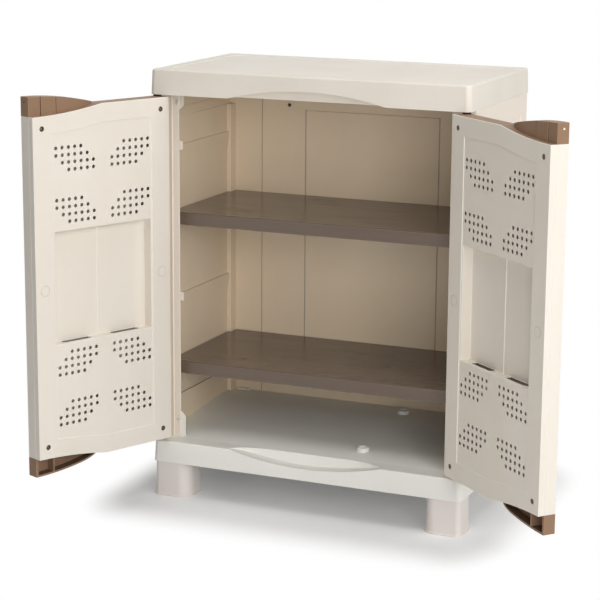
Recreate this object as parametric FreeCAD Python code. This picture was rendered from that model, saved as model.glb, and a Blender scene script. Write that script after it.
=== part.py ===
import FreeCAD, Part
import math
import os

# Garden storage cabinet, two doors, moulded resin.
# Millimetres. X runs to the right, Y to the back and Z up.
# The origin is on the floor under the centre of the carcass.

# Overall sizes
overall_width = 700.0
overall_depth = 390.0
overall_height = 920.0
foot_height = 76.0
base_height = 47.0
lid_height = 52.0
moulding_wall = 3.5
edge_draft = 2.0
corner_radius = 12.0
top_edge_round = 4.0
cut_overlap = 1.0
level_tolerance = 0.001

# Doors
door_thickness = 39.0
door_setback = 2.0
door_side_gap = 5.0
door_centre_gap = 4.0
door_top_gap = 4.0
door_bottom_gap = 9.0
door_rear_gap = 4.0
door_plate = 3.0
door_seam_depth = 25.6
left_door_open_angle = 114.0
right_door_open_angle = 140.0

# Lens shape where the two doors meet, at the top and at the bottom
lens_half_width = 173.0
lens_rise = 23.0
lens_dip = 16.0
lens_nose = 60.0

# Arched pocket in the lid and finger scoop in the base that receive the lens
pocket_clearance = 3.0
pocket_depth = 30.0
pocket_half_width = 172.0
scoop_nose = 85.0
scoop_height = 22.0
scoop_slant = 7.0

# Door hinges
hinge_from_edge = 7.0
hinge_from_front = 10.0
hinge_pin_radius = 3.5
hinge_running_clearance = 0.05
hinge_pin_in_door = 22.0
hinge_pin_in_bush = 17.0
bush_radius = 6.0
bush_flange_radius = 8.5
bush_length = 20.0
bush_end_gap = 0.3
hinge_boss_radius = 9.0

# Side panels
side_inset = 3.0
side_thickness = 10.0
flange_width = 42.0
flange_thickness = 3.5
tongue_height = 21.0
tongue_clearance = 0.5
jamb_groove_width = 8.0
jamb_groove_depth = 1.0
jamb_groove_from_side = 15.0
jamb_bead_radius = 2.2
jamb_bead_sink = 1.0
upper_step_height = 58.0
upper_step_depth = 2.0
wall_groove_height = 8.0
wall_groove_depth = 3.0
wall_groove_from_edge = 31.0
outer_field_depth = 2.0
outer_field_front_margin = 30.0
outer_field_rear_margin = 38.0
outer_field_end_margin = 38.0
outer_field_radius = 12.0

# Shelf rails moulded on the side panels
rail_count = 4
first_rail_height = 114.0
rail_pitch = 162.0
rail_projection = 6.0
rail_height = 46.0
rail_lip = 2.0
tab_rails = (2, 4)
shelf_tab_width = 8.0
shelf_tab_height = 18.0
shelf_tab_above_rail = 17.0
rear_post_depth = 27.0
rear_post_projection = 9.0

# Back panel
back_inset = 7.0
back_thickness = 8.0
back_field_half_width = 158.0
back_field_below_top = 63.0
back_field_above_floor = 77.0
back_field_groove_width = 2.5
back_groove_from_centre = 263.0
back_groove_width = 1.6
back_groove_depth = 3.0
wall_screw_from_centre = 196.0
wall_screw_below_top = 55.0
wall_screw_hole_radius = 2.75
wall_screw_ring_radius = 8.0
wall_screw_ring_height = 1.5

# Base floor
floor_rise = 27.0
floor_crown = 6.0
floor_from_scoop = 1.0
lug_width = 41.0
lug_height = 28.0
lug_thickness = 4.0
lug_chamfer = 9.0
lug_top_reach = 35.0
socket_from_centre = 101.0
socket_front_margin = 42.0
socket_rear_margin = 43.0
socket_outer_radius = 13.0
socket_bore_radius = 10.0
socket_height = 7.5
clip_width = 30.0
clip_depth = 12.0
clip_height = 3.0
clip_from_wall = 8.0

# Underside ribs
rib_thickness = 3.0
rib_spacing = 105.0
lid_rib_height = 12.0
channel_wall = 3.5
channel_height = 36.0
channel_clearance = 0.3

# Embossed field on the lid
lid_field_margin = 30.0
lid_field_depth = 1.0
lid_field_radius = 26.0

# Feet
foot_width = 79.0
foot_inset = 3.5
foot_wall = 3.5
foot_lip = 3.5
foot_lip_height = 3.5
foot_flare = 1.2
foot_flare_top = 25.0
foot_outer_radius = 10.0
foot_inner_radius = 26.0
foot_plug_width = 54.0
foot_plug_height = 20.0
foot_plug_clearance = 0.3
foot_top = 4.0

# Shelves
shelf_lip_height = 27.0
shelf_plate = 3.0
shelf_wall = 3.0
shelf_side_clearance = 2.0
shelf_front_clearance = 2.5
shelf_rear_clearance = 2.0
shelf_post_clearance = 1.0
shelf_rim_width = 9.0
shelf_rim_height = 1.5
shelf_nose_radius = 3.0
upper_shelf_rail = 3
lower_shelf_rail = 1

# Door inner panel: fixings, fields and pocket
screw_from_edge = 22.0
screw_from_end = 24.0
screw_well_radius = 5.4
screw_well_depth = 4.0
screw_well_wall = 1.8
screw_hole_radius = 2.2
screw_head_radius = 4.0
screw_head_height = 2.6
screw_shank_radius = 2.0
screw_length = 16.0
screw_slot_width = 1.2
screw_slot_depth = 1.0
screw_cross_share = 0.7
ring_radius = 11.0
ring_width = 1.2
ring_depth = 0.8
field_from_hinge = 46.0
field_from_free = 46.0
field_from_end = 38.0
field_depth = 1.6
door_pocket_half_height = 116.0
door_pocket_depth = 24.5
door_pocket_margin = 3.5
door_pocket_wall = 2.5
door_pocket_rib_width = 3.0
door_pocket_rib_height = 1.5
drain_slot_length = 72.0
drain_slot_width = 13.0
drain_slot_radius = 5.0
drain_slot_from_back = 1.0
drain_slot_from_middle = 26.0

# Perforations: each group is four staggered rows of a seven by four grid
hole_radius = 3.7
hole_pitch_across = 15.4
hole_pitch_up = 15.0
group_column_offset = 69.5
group_rows_from_middle = (262.0, 157.0)
row_spans = ((0, 5), (0, 6), (1, 7), (2, 7))
grid_columns = 7
grid_rows = 4

# Door caps
cap_band = 3.0
cap_wall = 3.0
cap_hollow_width = 110.0
cap_step_from_free = 30.0
cap_step_width = 36.0
cap_step_height = 1.2
cap_groove_width = 1.6
cap_groove_depth = 2.5
cap_recess_depth = 21.0
cap_recess_rim = 4.0
cap_rib_from_free = 43.0
cap_rib_width = 3.0
buffer_radius = 2.0
buffer_from_front = 12.0
buffer_below_peak = 11.0
buffer_reach = 1.4
outer_field_groove_depth = 1.2

# Carcass screws
carcass_screw_from_side = 37.0
carcass_screw_above_floor = 13.0
carcass_screw_below_lid = 20.0
carcass_screw_length = 12.0

# Levels and faces that follow from the sizes above
half_width = overall_width / 2
front_y = -overall_depth / 2
rear_y = overall_depth / 2
base_bottom = foot_height
sill_z = base_bottom + base_height
floor_z = sill_z + floor_rise
floor_front_y = front_y + pocket_depth + scoop_slant + floor_from_scoop
skirt_z = overall_height - lid_height
ceiling_z = overall_height - moulding_wall
tongue_z = skirt_z + tongue_height
panel_outer_x = half_width - side_inset
panel_inner_x = panel_outer_x - side_thickness
rail_inner_x = panel_inner_x - rail_projection
post_inner_x = panel_inner_x - rear_post_projection
flange_inner_x = panel_outer_x - flange_width
door_outer_y = front_y + door_setback
door_seam_y = door_outer_y + door_seam_depth
door_inner_y = door_outer_y + door_thickness
jamb_y = door_inner_y + door_rear_gap
flange_rear_y = jamb_y + flange_thickness
back_outer_y = rear_y - back_inset
back_inner_y = back_outer_y - back_thickness
rear_post_y = back_inner_y - rear_post_depth
door_bottom = sill_z + door_bottom_gap
door_top = skirt_z - door_top_gap
door_middle = (door_bottom + door_top) / 2
hinge_edge_x = half_width - door_side_gap
free_edge_x = door_centre_gap / 2
pivot_x = hinge_edge_x - hinge_from_edge
pivot_y = door_outer_y + hinge_from_front
foot_centre_x = half_width - foot_inset - foot_width / 2
foot_centre_y = rear_y - foot_inset - foot_width / 2


def block(x0, x1, y0, y1, z0, z1):
    return Part.makeBox(x1 - x0, y1 - y0, z1 - z0, FreeCAD.Vector(x0, y0, z0))


def rod(x, y, z0, z1, radius):
    return Part.makeCylinder(radius, z1 - z0, FreeCAD.Vector(x, y, z0))


def rod_along_y(x, z, y0, y1, radius):
    return Part.makeCylinder(radius, y1 - y0, FreeCAD.Vector(x, y0, z), FreeCAD.Vector(0, 1, 0))


def join(shapes):
    first = shapes[0]
    if len(shapes) == 1:
        return first
    return first.fuse(shapes[1:]).removeSplitter()


def rounded_wire(x0, x1, y0, y1, radii, z):
    """A rectangle at height z whose corners, from (x0, y0) round by (x1, y0), have their own radii."""
    corners = ((x0, y0, 1, 1), (x1, y0, -1, 1), (x1, y1, -1, -1), (x0, y1, 1, -1))
    turns = ((-1, -1), (1, -1), (1, 1), (-1, 1))
    points = []
    for (x, y, in_x, in_y), (out_x, out_y), r in zip(corners, turns, radii):
        centre_x = x + in_x * r
        centre_y = y + in_y * r
        diagonal = r / math.sqrt(2)
        middle = FreeCAD.Vector(centre_x + out_x * diagonal, centre_y + out_y * diagonal, z)
        side_a = FreeCAD.Vector(x, centre_y, z)
        side_b = FreeCAD.Vector(centre_x, y, z)
        if in_x * in_y < 0:
            side_a, side_b = side_b, side_a
        points.append((side_a, middle, side_b))
    edges = []
    for index, (start, middle, end) in enumerate(points):
        edges.append(Part.Arc(start, middle, end).toShape())
        following = points[(index + 1) % len(points)][0]
        edges.append(Part.LineSegment(end, following).toShape())
    return Part.Wire(edges)


def rounded_block(x0, x1, y0, y1, z0, z1, radius, grow_bottom=0.0):
    """A block with round upright corners; the bottom may be larger all round, for draft."""
    g = grow_bottom
    low = rounded_wire(x0 - g, x1 + g, y0 - g, y1 + g, [radius] * 4, z0)
    high = rounded_wire(x0, x1, y0, y1, [radius] * 4, z1)
    return Part.makeLoft([low, high], True, True)


def polygon_along_y(points, y0, y1):
    """Extrudes an outline of (x, z) points from y0 to y1."""
    vectors = [FreeCAD.Vector(x, y0, z) for x, z in points]
    face = Part.Face(Part.makePolygon(vectors + vectors[:1]))
    return face.extrude(FreeCAD.Vector(0, y1 - y0, 0))


def round_level_edges(shape, z, radius):
    """Rounds every edge that lies wholly at height z."""
    edges = [e for e in shape.Edges if all(abs(v.Point.z - z) < level_tolerance for v in e.Vertexes)]
    return shape.makeFillet(radius, edges)


def mirrored(shape):
    return shape.mirror(FreeCAD.Vector(0, 0, 0), FreeCAD.Vector(1, 0, 0))


def circle_through(half_chord, rise, x):
    """Height above its chord, at x, of a circular arc with this half chord and rise."""
    radius = (half_chord ** 2 + rise ** 2) / (2 * rise)
    return math.sqrt(radius ** 2 - x ** 2) - (radius - rise)


def lens_arc(x0, x1, level, rise, y, half_chord=lens_half_width):
    """An arc in the plane at y from x0 to x1; rise is negative for a hollow arc."""
    sign = 1 if rise > 0 else -1
    points = []
    for x in (x0, (x0 + x1) / 2, x1):
        z = level + sign * circle_through(half_chord, abs(rise), x)
        points.append(FreeCAD.Vector(x, y, z))
    return Part.Arc(*points).toShape()


def arch_block(level, rise, half_chord, y0, y1, overlap):
    """An arch across the cabinet's middle, cut from the level and overlap beyond it."""
    arc = lens_arc(-half_chord, half_chord, level, rise, y0, half_chord)
    beyond = level - overlap if rise > 0 else level + overlap
    start = FreeCAD.Vector(-half_chord, y0, level)
    end = FreeCAD.Vector(half_chord, y0, level)
    start_out = FreeCAD.Vector(-half_chord, y0, beyond)
    end_out = FreeCAD.Vector(half_chord, y0, beyond)
    edges = [arc]
    edges.append(Part.LineSegment(end, end_out).toShape())
    edges.append(Part.LineSegment(end_out, start_out).toShape())
    edges.append(Part.LineSegment(start_out, start).toShape())
    return Part.Face(Part.Wire(edges)).extrude(FreeCAD.Vector(0, y1 - y0, 0))


def rib_lines(half_span):
    """Evenly spaced places, symmetrical about zero, no further apart than the rib spacing."""
    bays = max(2, math.ceil(2 * half_span / rib_spacing))
    step = 2 * half_span / bays
    return [-half_span + step * k for k in range(1, bays)]


def rib_grid(half_x, y0, y1, z0, z1):
    """A grid of upright ribs that fills a rectangle."""
    half = rib_thickness / 2
    middle_y = (y0 + y1) / 2
    ribs = [block(x - half, x + half, y0, y1, z0, z1) for x in rib_lines(half_x)]
    for y in rib_lines((y1 - y0) / 2):
        ribs.append(block(-half_x, half_x, middle_y + y - half, middle_y + y + half, z0, z1))
    return join(ribs)


def hinge_places():
    return ((pivot_x, pivot_y), (-pivot_x, pivot_y))


def socket_places():
    return (flange_rear_y + socket_front_margin, back_inner_y - socket_rear_margin)


def make_foot():
    """The front right foot: a tube on a flat flange, with a plug that enters the base."""
    x0 = foot_centre_x - foot_width / 2
    x1 = foot_centre_x + foot_width / 2
    y0 = -foot_centre_y - foot_width / 2
    y1 = -foot_centre_y + foot_width / 2
    radii = (foot_inner_radius, foot_outer_radius, foot_inner_radius, foot_inner_radius)
    inner = [r - foot_wall for r in radii]
    lip = foot_lip
    sole_wire = rounded_wire(x0 - lip, x1 + lip, y0 - lip, y1 + lip, [r + lip for r in radii], 0)
    sole = Part.Face(sole_wire).extrude(FreeCAD.Vector(0, 0, foot_lip_height))
    wide = foot_flare
    low = rounded_wire(x0 - wide, x1 + wide, y0 - wide, y1 + wide, [r + wide for r in radii], foot_lip_height)
    high = rounded_wire(x0, x1, y0, y1, radii, foot_flare_top)
    flare = Part.makeLoft([low, high], True, True)
    body = Part.Face(high).extrude(FreeCAD.Vector(0, 0, foot_height - foot_flare_top))
    hollow_wire = rounded_wire(x0 + foot_wall, x1 - foot_wall, y0 + foot_wall, y1 - foot_wall, inner, 0)
    hollow = Part.Face(hollow_wire).extrude(FreeCAD.Vector(0, 0, foot_height - foot_top))
    half = foot_plug_width / 2
    plug_top = foot_height + foot_plug_height
    plug = block(foot_centre_x - half, foot_centre_x + half, -foot_centre_y - half, -foot_centre_y + half,
                 foot_height, plug_top)
    half_in = half - foot_wall
    plug_hollow = block(foot_centre_x - half_in, foot_centre_x + half_in, -foot_centre_y - half_in,
                        -foot_centre_y + half_in, foot_height + foot_top, plug_top)
    return join([sole, flare, body, plug]).cut(hollow).cut(plug_hollow)


def nosed_plan(half_chord, nose, depth, y0, z):
    """The right half of a lens seen from above: straight in front, its rear edge curving in to the tip."""
    ellipse = Part.Ellipse(FreeCAD.Vector(half_chord - nose, y0, z), nose, depth)
    tip = FreeCAD.Vector(half_chord, y0, z)
    rear_start = FreeCAD.Vector(half_chord - nose, y0 + depth, z)
    rear_middle = FreeCAD.Vector(0, y0 + depth, z)
    front_middle = FreeCAD.Vector(0, y0, z)
    edges = [Part.ArcOfEllipse(ellipse, 0, math.pi / 2).toShape()]
    edges.append(Part.LineSegment(rear_start, rear_middle).toShape())
    edges.append(Part.LineSegment(rear_middle, front_middle).toShape())
    edges.append(Part.LineSegment(front_middle, tip).toShape())
    return Part.Wire(Part.__sortEdges__(edges))


def floor_level(y):
    """Height of the floor, a shallow arch that rises from the sill to the back panel."""
    share = (y - floor_front_y) / (back_inner_y - floor_front_y)
    return sill_z + floor_rise * share + 4 * floor_crown * share * (1 - share)


def floor_slab(low, drop, half_x, rear):
    """The block under the floor from its front edge to the rear, its top lowered by the drop."""
    crest = []
    for y in (floor_front_y, (floor_front_y + rear) / 2, rear):
        crest.append(FreeCAD.Vector(-half_x, y, floor_level(y) - drop))
    rear_low = FreeCAD.Vector(-half_x, rear, low)
    front_low = FreeCAD.Vector(-half_x, floor_front_y, low)
    edges = [Part.Arc(crest[0], crest[1], crest[2]).toShape()]
    edges.append(Part.LineSegment(crest[2], rear_low).toShape())
    edges.append(Part.LineSegment(rear_low, front_low).toShape())
    edges.append(Part.LineSegment(front_low, crest[0]).toShape())
    return Part.Face(Part.Wire(edges)).extrude(FreeCAD.Vector(2 * half_x, 0, 0))


def make_base():
    """The base moulding: skirt, sill under the doors, rising floor, lugs and ribs below."""
    outer = rounded_block(-half_width + edge_draft, half_width - edge_draft, front_y + edge_draft,
                          rear_y - edge_draft, base_bottom, sill_z, corner_radius, edge_draft)
    outer = round_level_edges(outer, sill_z, top_edge_round)
    floor = floor_slab(sill_z - moulding_wall, 0, panel_inner_x, back_inner_y)
    notch_x = flange_inner_x - tongue_clearance
    for low_x, high_x in ((-panel_inner_x, -notch_x), (notch_x, panel_inner_x)):
        floor = floor.cut(block(low_x, high_x, floor_front_y, flange_rear_y, sill_z, floor_z))
    solids = [outer, floor]
    for side in (-1, 1):
        inner = side * (panel_inner_x - lug_width)
        outer_x = side * panel_inner_x
        top = floor_z + lug_height
        points = [(outer_x, sill_z), (inner, sill_z), (inner, top - lug_chamfer),
                  (inner + side * lug_chamfer, top), (outer_x, top)]
        solids.append(polygon_along_y(points, flange_rear_y, flange_rear_y + lug_thickness))
        clip_a = side * (post_inner_x - clip_from_wall)
        clip_b = clip_a - side * clip_width
        solids.append(block(min(clip_a, clip_b), max(clip_a, clip_b), back_inner_y - clip_depth, back_inner_y,
                            sill_z, floor_z + clip_height))
    for y in socket_places():
        solids.append(rod(socket_from_centre, y, sill_z, floor_level(y) + socket_height, socket_outer_radius))
    whole = join(solids)

    # Hollow underneath, with a wall left behind the finger scoop
    scoop_reach = pocket_depth + scoop_slant
    wall = moulding_wall
    scoop_wall = arch_block(sill_z, -(scoop_height + wall), pocket_half_width + wall, front_y,
                            front_y + scoop_reach + wall, top_edge_round)
    cavity = rounded_block(-half_width + edge_draft + wall, half_width - edge_draft - wall,
                           front_y + edge_draft + wall, rear_y - edge_draft - wall, base_bottom,
                           sill_z - wall, corner_radius - wall, edge_draft)
    cavity = cavity.cut(scoop_wall)
    cavity = cavity.fuse(floor_slab(sill_z - 2 * wall, wall, panel_inner_x - wall, back_inner_y - wall))
    kept = [rib_grid(half_width, front_y, rear_y, base_bottom + wall, floor_z)]
    for x, y in hinge_places():
        kept.append(rod(x, y, sill_z - bush_length - wall, sill_z, hinge_boss_radius))
    half = foot_plug_width / 2 + foot_plug_clearance
    plugs = []
    for side_x in (-1, 1):
        for side_y in (-1, 1):
            x = side_x * foot_centre_x
            y = side_y * foot_centre_y
            reach = half + rib_thickness
            kept.append(block(x - reach, x + reach, y - reach, y + reach, base_bottom, floor_z))
            plugs.append(block(x - half, x + half, y - half, y + half, base_bottom, floor_z))
    whole = whole.cut(cavity).fuse(join(kept).cut(Part.makeCompound(plugs)).common(cavity)).removeSplitter()

    # Finger scoop: an arc seen from the front, with a rear edge that is bowed seen from above
    scoop_rear = front_y + scoop_reach
    scoop = arch_block(sill_z, -scoop_height, pocket_half_width, front_y, scoop_rear, top_edge_round)
    low_plan = nosed_plan(pocket_half_width, scoop_nose, pocket_depth, front_y, sill_z - scoop_height)
    high_plan = nosed_plan(pocket_half_width, scoop_nose, scoop_reach, front_y, sill_z)
    half_scoop = scoop.common(Part.makeLoft([low_plan, high_plan], True, True))
    whole = whole.cut(half_scoop).cut(mirrored(half_scoop))
    for x, y in hinge_places():
        whole = whole.cut(rod(x, y, sill_z - bush_length, sill_z + cut_overlap, bush_radius))
    for y in socket_places():
        socket_top = floor_level(y) + socket_height + cut_overlap
        whole = whole.cut(rod(socket_from_centre, y, floor_level(y), socket_top, socket_bore_radius))
    return whole.cut(Part.makeCompound(carcass_screw_holes()))


def carcass_screw_places():
    low = floor_z + carcass_screw_above_floor
    high = skirt_z - carcass_screw_below_lid
    x = panel_outer_x - carcass_screw_from_side
    return [(side * x, z) for side in (-1, 1) for z in (low, high)]


def carcass_screw_holes():
    return [rod_along_y(x, z, jamb_y - cut_overlap, jamb_y + carcass_screw_length, screw_shank_radius)
            for x, z in carcass_screw_places()]


def make_lid():
    """The lid: drafted skirt, embossed top, arched pocket, channel for the panels, lugs and ribs."""
    outer = rounded_block(-half_width + edge_draft, half_width - edge_draft, front_y + edge_draft,
                          rear_y - edge_draft, skirt_z, overall_height, corner_radius, edge_draft)
    outer = round_level_edges(outer, overall_height, top_edge_round)
    margin = lid_field_margin
    field = rounded_block(-half_width + margin, half_width - margin, front_y + margin, rear_y - margin,
                          overall_height - lid_field_depth, overall_height + cut_overlap, lid_field_radius)
    wall = moulding_wall
    pocket_rise = lens_rise - door_top_gap + pocket_clearance
    pocket_wall = arch_block(skirt_z, pocket_rise + wall, pocket_half_width + wall, front_y,
                             front_y + pocket_depth + wall, cut_overlap)
    cavity = rounded_block(-half_width + edge_draft + wall, half_width - edge_draft - wall,
                           front_y + edge_draft + wall, rear_y - edge_draft - wall, skirt_z, ceiling_z,
                           corner_radius - wall, edge_draft)
    cavity = cavity.cut(pocket_wall)

    # Inside the cavity: ceiling ribs, channel walls, hinge bosses and lugs
    kept = [rib_grid(half_width, front_y, rear_y, ceiling_z - lid_rib_height, ceiling_z)]
    channel_x = panel_inner_x - channel_clearance
    channel_y = back_inner_y - channel_clearance
    channel_z = ceiling_z - channel_height
    for side in (-1, 1):
        a = side * channel_x
        b = side * (channel_x - channel_wall)
        kept.append(block(min(a, b), max(a, b), flange_rear_y, channel_y, channel_z, ceiling_z))
    kept.append(block(-channel_x, channel_x, channel_y - channel_wall, channel_y, channel_z, ceiling_z))
    for x, y in hinge_places():
        kept.append(rod(x, y, skirt_z, ceiling_z, hinge_boss_radius))
    tongues = [block(-panel_outer_x, panel_outer_x, back_inner_y, rear_y, skirt_z, tongue_z),
               block(panel_inner_x, panel_outer_x, jamb_y, rear_y, skirt_z, tongue_z),
               block(-panel_outer_x, -panel_inner_x, jamb_y, rear_y, skirt_z, tongue_z),
               block(-panel_outer_x, -flange_inner_x, jamb_y, flange_rear_y, skirt_z, tongue_z),
               block(flange_inner_x, panel_outer_x, jamb_y, flange_rear_y, skirt_z, tongue_z)]
    inside = join(kept).cut(Part.makeCompound(tongues)).common(cavity)
    whole = outer.cut(field).cut(cavity).fuse(inside)
    for side in (-1, 1):
        inner = side * (panel_inner_x - lug_width)
        outer_x = side * (panel_inner_x - channel_clearance)
        low = skirt_z - lug_top_reach
        points = [(outer_x, ceiling_z), (inner, ceiling_z), (inner, low + lug_chamfer),
                  (inner + side * lug_chamfer, low), (outer_x, low)]
        whole = whole.fuse(polygon_along_y(points, flange_rear_y, flange_rear_y + lug_thickness))
    whole = whole.removeSplitter()
    pocket_rear = front_y + pocket_depth
    whole = whole.cut(arch_block(skirt_z, pocket_rise, pocket_half_width, front_y, pocket_rear, cut_overlap))
    for x, y in hinge_places():
        whole = whole.cut(rod(x, y, skirt_z - cut_overlap, skirt_z + bush_length, bush_radius))
    return whole.cut(Part.makeCompound(carcass_screw_holes()))


def rail_levels():
    return [floor_z + first_rail_height + rail_pitch * k for k in range(rail_count)]


def make_side_panel():
    """The right side panel: wall, front flange with bead and groove, rear post and shelf rails."""
    tongue_x = half_width - edge_draft - moulding_wall - tongue_clearance
    solids = [block(panel_inner_x, panel_outer_x, jamb_y, back_outer_y, sill_z, skirt_z)]
    solids.append(block(panel_inner_x, tongue_x, jamb_y, back_outer_y, skirt_z, tongue_z))
    solids.append(block(flange_inner_x, panel_outer_x, jamb_y, flange_rear_y, sill_z, skirt_z))
    solids.append(block(flange_inner_x, tongue_x, jamb_y, flange_rear_y, skirt_z, tongue_z))
    groove_x = panel_outer_x - jamb_groove_from_side
    bead_x = groove_x - jamb_groove_width - jamb_bead_radius
    bead_y = jamb_y + jamb_bead_sink
    solids.append(rod(bead_x, bead_y, sill_z, skirt_z, jamb_bead_radius))
    post_top = skirt_z - upper_step_height
    solids.append(block(post_inner_x, panel_inner_x, rear_post_y, back_inner_y, floor_z, post_top))
    for number, z in enumerate(rail_levels(), 1):
        profile = [(panel_inner_x, z), (rail_inner_x, z), (rail_inner_x, z - rail_lip),
                   (panel_inner_x, z - rail_height)]
        solids.append(polygon_along_y(profile, flange_rear_y, rear_post_y))
        if number in tab_rails:
            tab_top = z + shelf_tab_above_rail
            solids.append(block(flange_inner_x - shelf_tab_width, flange_inner_x, jamb_y, flange_rear_y,
                                tab_top - shelf_tab_height, tab_top))
    panel = join(solids)
    proud_x = panel_inner_x - cut_overlap
    cuts = [block(groove_x - jamb_groove_width, groove_x, jamb_y - cut_overlap, jamb_y + jamb_groove_depth,
                  sill_z, skirt_z)]
    cuts.append(block(proud_x, panel_inner_x + upper_step_depth, flange_rear_y, back_inner_y,
                      post_top, tongue_z))
    low = floor_z + upper_step_height
    high = skirt_z - wall_groove_from_edge
    for z in (low, high):
        cuts.append(block(proud_x, panel_inner_x + wall_groove_depth, flange_rear_y, rear_post_y,
                          z - wall_groove_height, z))
    field_wire = rounded_wire(jamb_y + outer_field_front_margin, back_outer_y - outer_field_rear_margin,
                              floor_z + outer_field_end_margin, skirt_z - outer_field_end_margin,
                              [outer_field_radius] * 4, 0)
    field = Part.Face(field_wire).extrude(FreeCAD.Vector(0, 0, outer_field_depth))
    turn = FreeCAD.Placement(FreeCAD.Matrix(0, 0, 1, panel_outer_x - outer_field_depth,
                                            1, 0, 0, 0,
                                            0, 1, 0, 0,
                                            0, 0, 0, 1))
    field.Placement = turn
    cuts.append(field)
    cuts.extend(carcass_screw_holes())
    return panel.cut(Part.makeCompound(cuts))


def make_back_panel():
    """The back panel: a plain sheet with a grooved frame, two upright grooves and two wall screw holes."""
    low = floor_z + back_field_above_floor
    high = skirt_z - back_field_below_top
    screw_z = skirt_z - wall_screw_below_top
    tongue_y = min(back_outer_y, rear_y - edge_draft - moulding_wall - tongue_clearance)
    panel = join([block(-panel_inner_x, panel_inner_x, back_inner_y, back_outer_y, sill_z, skirt_z),
                  block(-panel_inner_x, panel_inner_x, back_inner_y, tongue_y, skirt_z, tongue_z)])
    for side in (-1, 1):
        x = side * wall_screw_from_centre
        ring_y = back_inner_y - wall_screw_ring_height
        panel = panel.fuse(rod_along_y(x, screw_z, ring_y, back_inner_y, wall_screw_ring_radius))
    proud_y = back_inner_y - wall_screw_ring_height - cut_overlap
    groove_y = back_inner_y + back_groove_depth
    half = back_field_half_width
    inset = back_field_groove_width
    frame = block(-half, half, proud_y, groove_y, low, high)
    cuts = [frame.cut(block(-half + inset, half - inset, proud_y, groove_y, low + inset, high - inset))]
    for side in (-1, 1):
        x = side * back_groove_from_centre
        cuts.append(block(x - back_groove_width / 2, x + back_groove_width / 2, proud_y, groove_y,
                          floor_z, skirt_z))
        x = side * wall_screw_from_centre
        cuts.append(rod_along_y(x, screw_z, proud_y, back_outer_y + cut_overlap, wall_screw_hole_radius))
    return panel.cut(Part.makeCompound(cuts))


def make_shelf(rail_z):
    """A shelf: thin plate with a deep lip all round, a raised front rim and ribs below."""
    half = panel_inner_x - shelf_side_clearance
    y0 = flange_rear_y + shelf_front_clearance
    y1 = back_inner_y - shelf_rear_clearance
    top = rail_z + shelf_lip_height - shelf_rim_height
    body = block(-half, half, y0, y1, rail_z, top)
    rim = block(-half, half, y0, y0 + shelf_rim_width, top, top + shelf_rim_height)
    body = join([body, rim])
    nose = [e for e in body.Edges if all(abs(v.Point.y - y0) < level_tolerance for v in e.Vertexes)
            and all(abs(v.Point.z - top - shelf_rim_height) < level_tolerance for v in e.Vertexes)]
    body = body.makeFillet(shelf_nose_radius, nose)
    w = shelf_wall
    cavity = block(-half + w, half - w, y0 + w, y1 - w, rail_z, top - shelf_plate)
    notch_x = post_inner_x - shelf_post_clearance
    notch_y = rear_post_y - shelf_post_clearance
    corner = [block(notch_x - w, half, notch_y - w, y1, rail_z, top),
              block(-half, -notch_x + w, notch_y - w, y1, rail_z, top)]
    cavity = cavity.cut(Part.makeCompound(corner))
    ribs = rib_grid(half, y0, y1, rail_z + w, top).common(cavity)
    body = body.cut(cavity).fuse(ribs).removeSplitter()
    for side in (-1, 1):
        a = side * notch_x
        b = side * (half + cut_overlap)
        body = body.cut(block(min(a, b), max(a, b), notch_y, y1 + cut_overlap, rail_z - cut_overlap,
                              top + cut_overlap))
    return body


def door_outline(inset, y0, y1):
    """The right door's outline seen from the front: flat ends that curve in towards the middle."""
    x_hinge = hinge_edge_x - inset
    x_free = free_edge_x + inset
    top = door_top - inset
    bottom = door_bottom + inset
    kink = lens_half_width
    upper = lens_arc(x_free, kink, top, -lens_dip, y0)
    lower = lens_arc(kink, x_free, bottom, lens_dip, y0)
    upper_start = upper.Vertexes[0].Point
    upper_end = upper.Vertexes[1].Point
    lower_start = lower.Vertexes[0].Point
    lower_end = lower.Vertexes[1].Point
    hinge_top = FreeCAD.Vector(x_hinge, y0, top)
    hinge_bottom = FreeCAD.Vector(x_hinge, y0, bottom)
    edges = [upper, Part.LineSegment(upper_end, hinge_top).toShape(),
             Part.LineSegment(hinge_top, hinge_bottom).toShape(),
             Part.LineSegment(hinge_bottom, lower_start).toShape(), lower,
             Part.LineSegment(lower_end, upper_start).toShape()]
    return Part.Face(Part.Wire(edges)).extrude(FreeCAD.Vector(0, y1 - y0, 0))


def side_strips(y0, y1):
    """Where the door's two upright edge walls stand."""
    free = block(free_edge_x, free_edge_x + door_plate, y0, y1, door_bottom, door_top)
    hinge = block(hinge_edge_x - door_plate, hinge_edge_x, y0, y1, door_bottom, door_top)
    return Part.makeCompound([free, hinge])


def field_outline(y0, y1):
    """The embossed field of a door, with ends that follow the lens."""
    x_hinge = hinge_edge_x - field_from_hinge
    x_free = free_edge_x + field_from_free
    top = door_top - field_from_end
    bottom = door_bottom + field_from_end
    outer = block(x_free, x_hinge, y0, y1, bottom, top)
    shift = door_outline(0, y0, y1)
    lowered = shift.copy()
    lowered.translate(FreeCAD.Vector(0, 0, -field_from_end))
    raised = shift.copy()
    raised.translate(FreeCAD.Vector(0, 0, field_from_end))
    return outer.common(lowered).common(raised)


def door_screw_places():
    x_hinge = hinge_edge_x - screw_from_edge
    x_free = free_edge_x + screw_from_edge
    hinge_z = door_top - screw_from_end
    free_z = door_top - lens_dip - screw_from_end
    places = [(x_hinge, hinge_z), (x_free, free_z)]
    return places + [(x, 2 * door_middle - z) for x, z in places]


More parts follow.
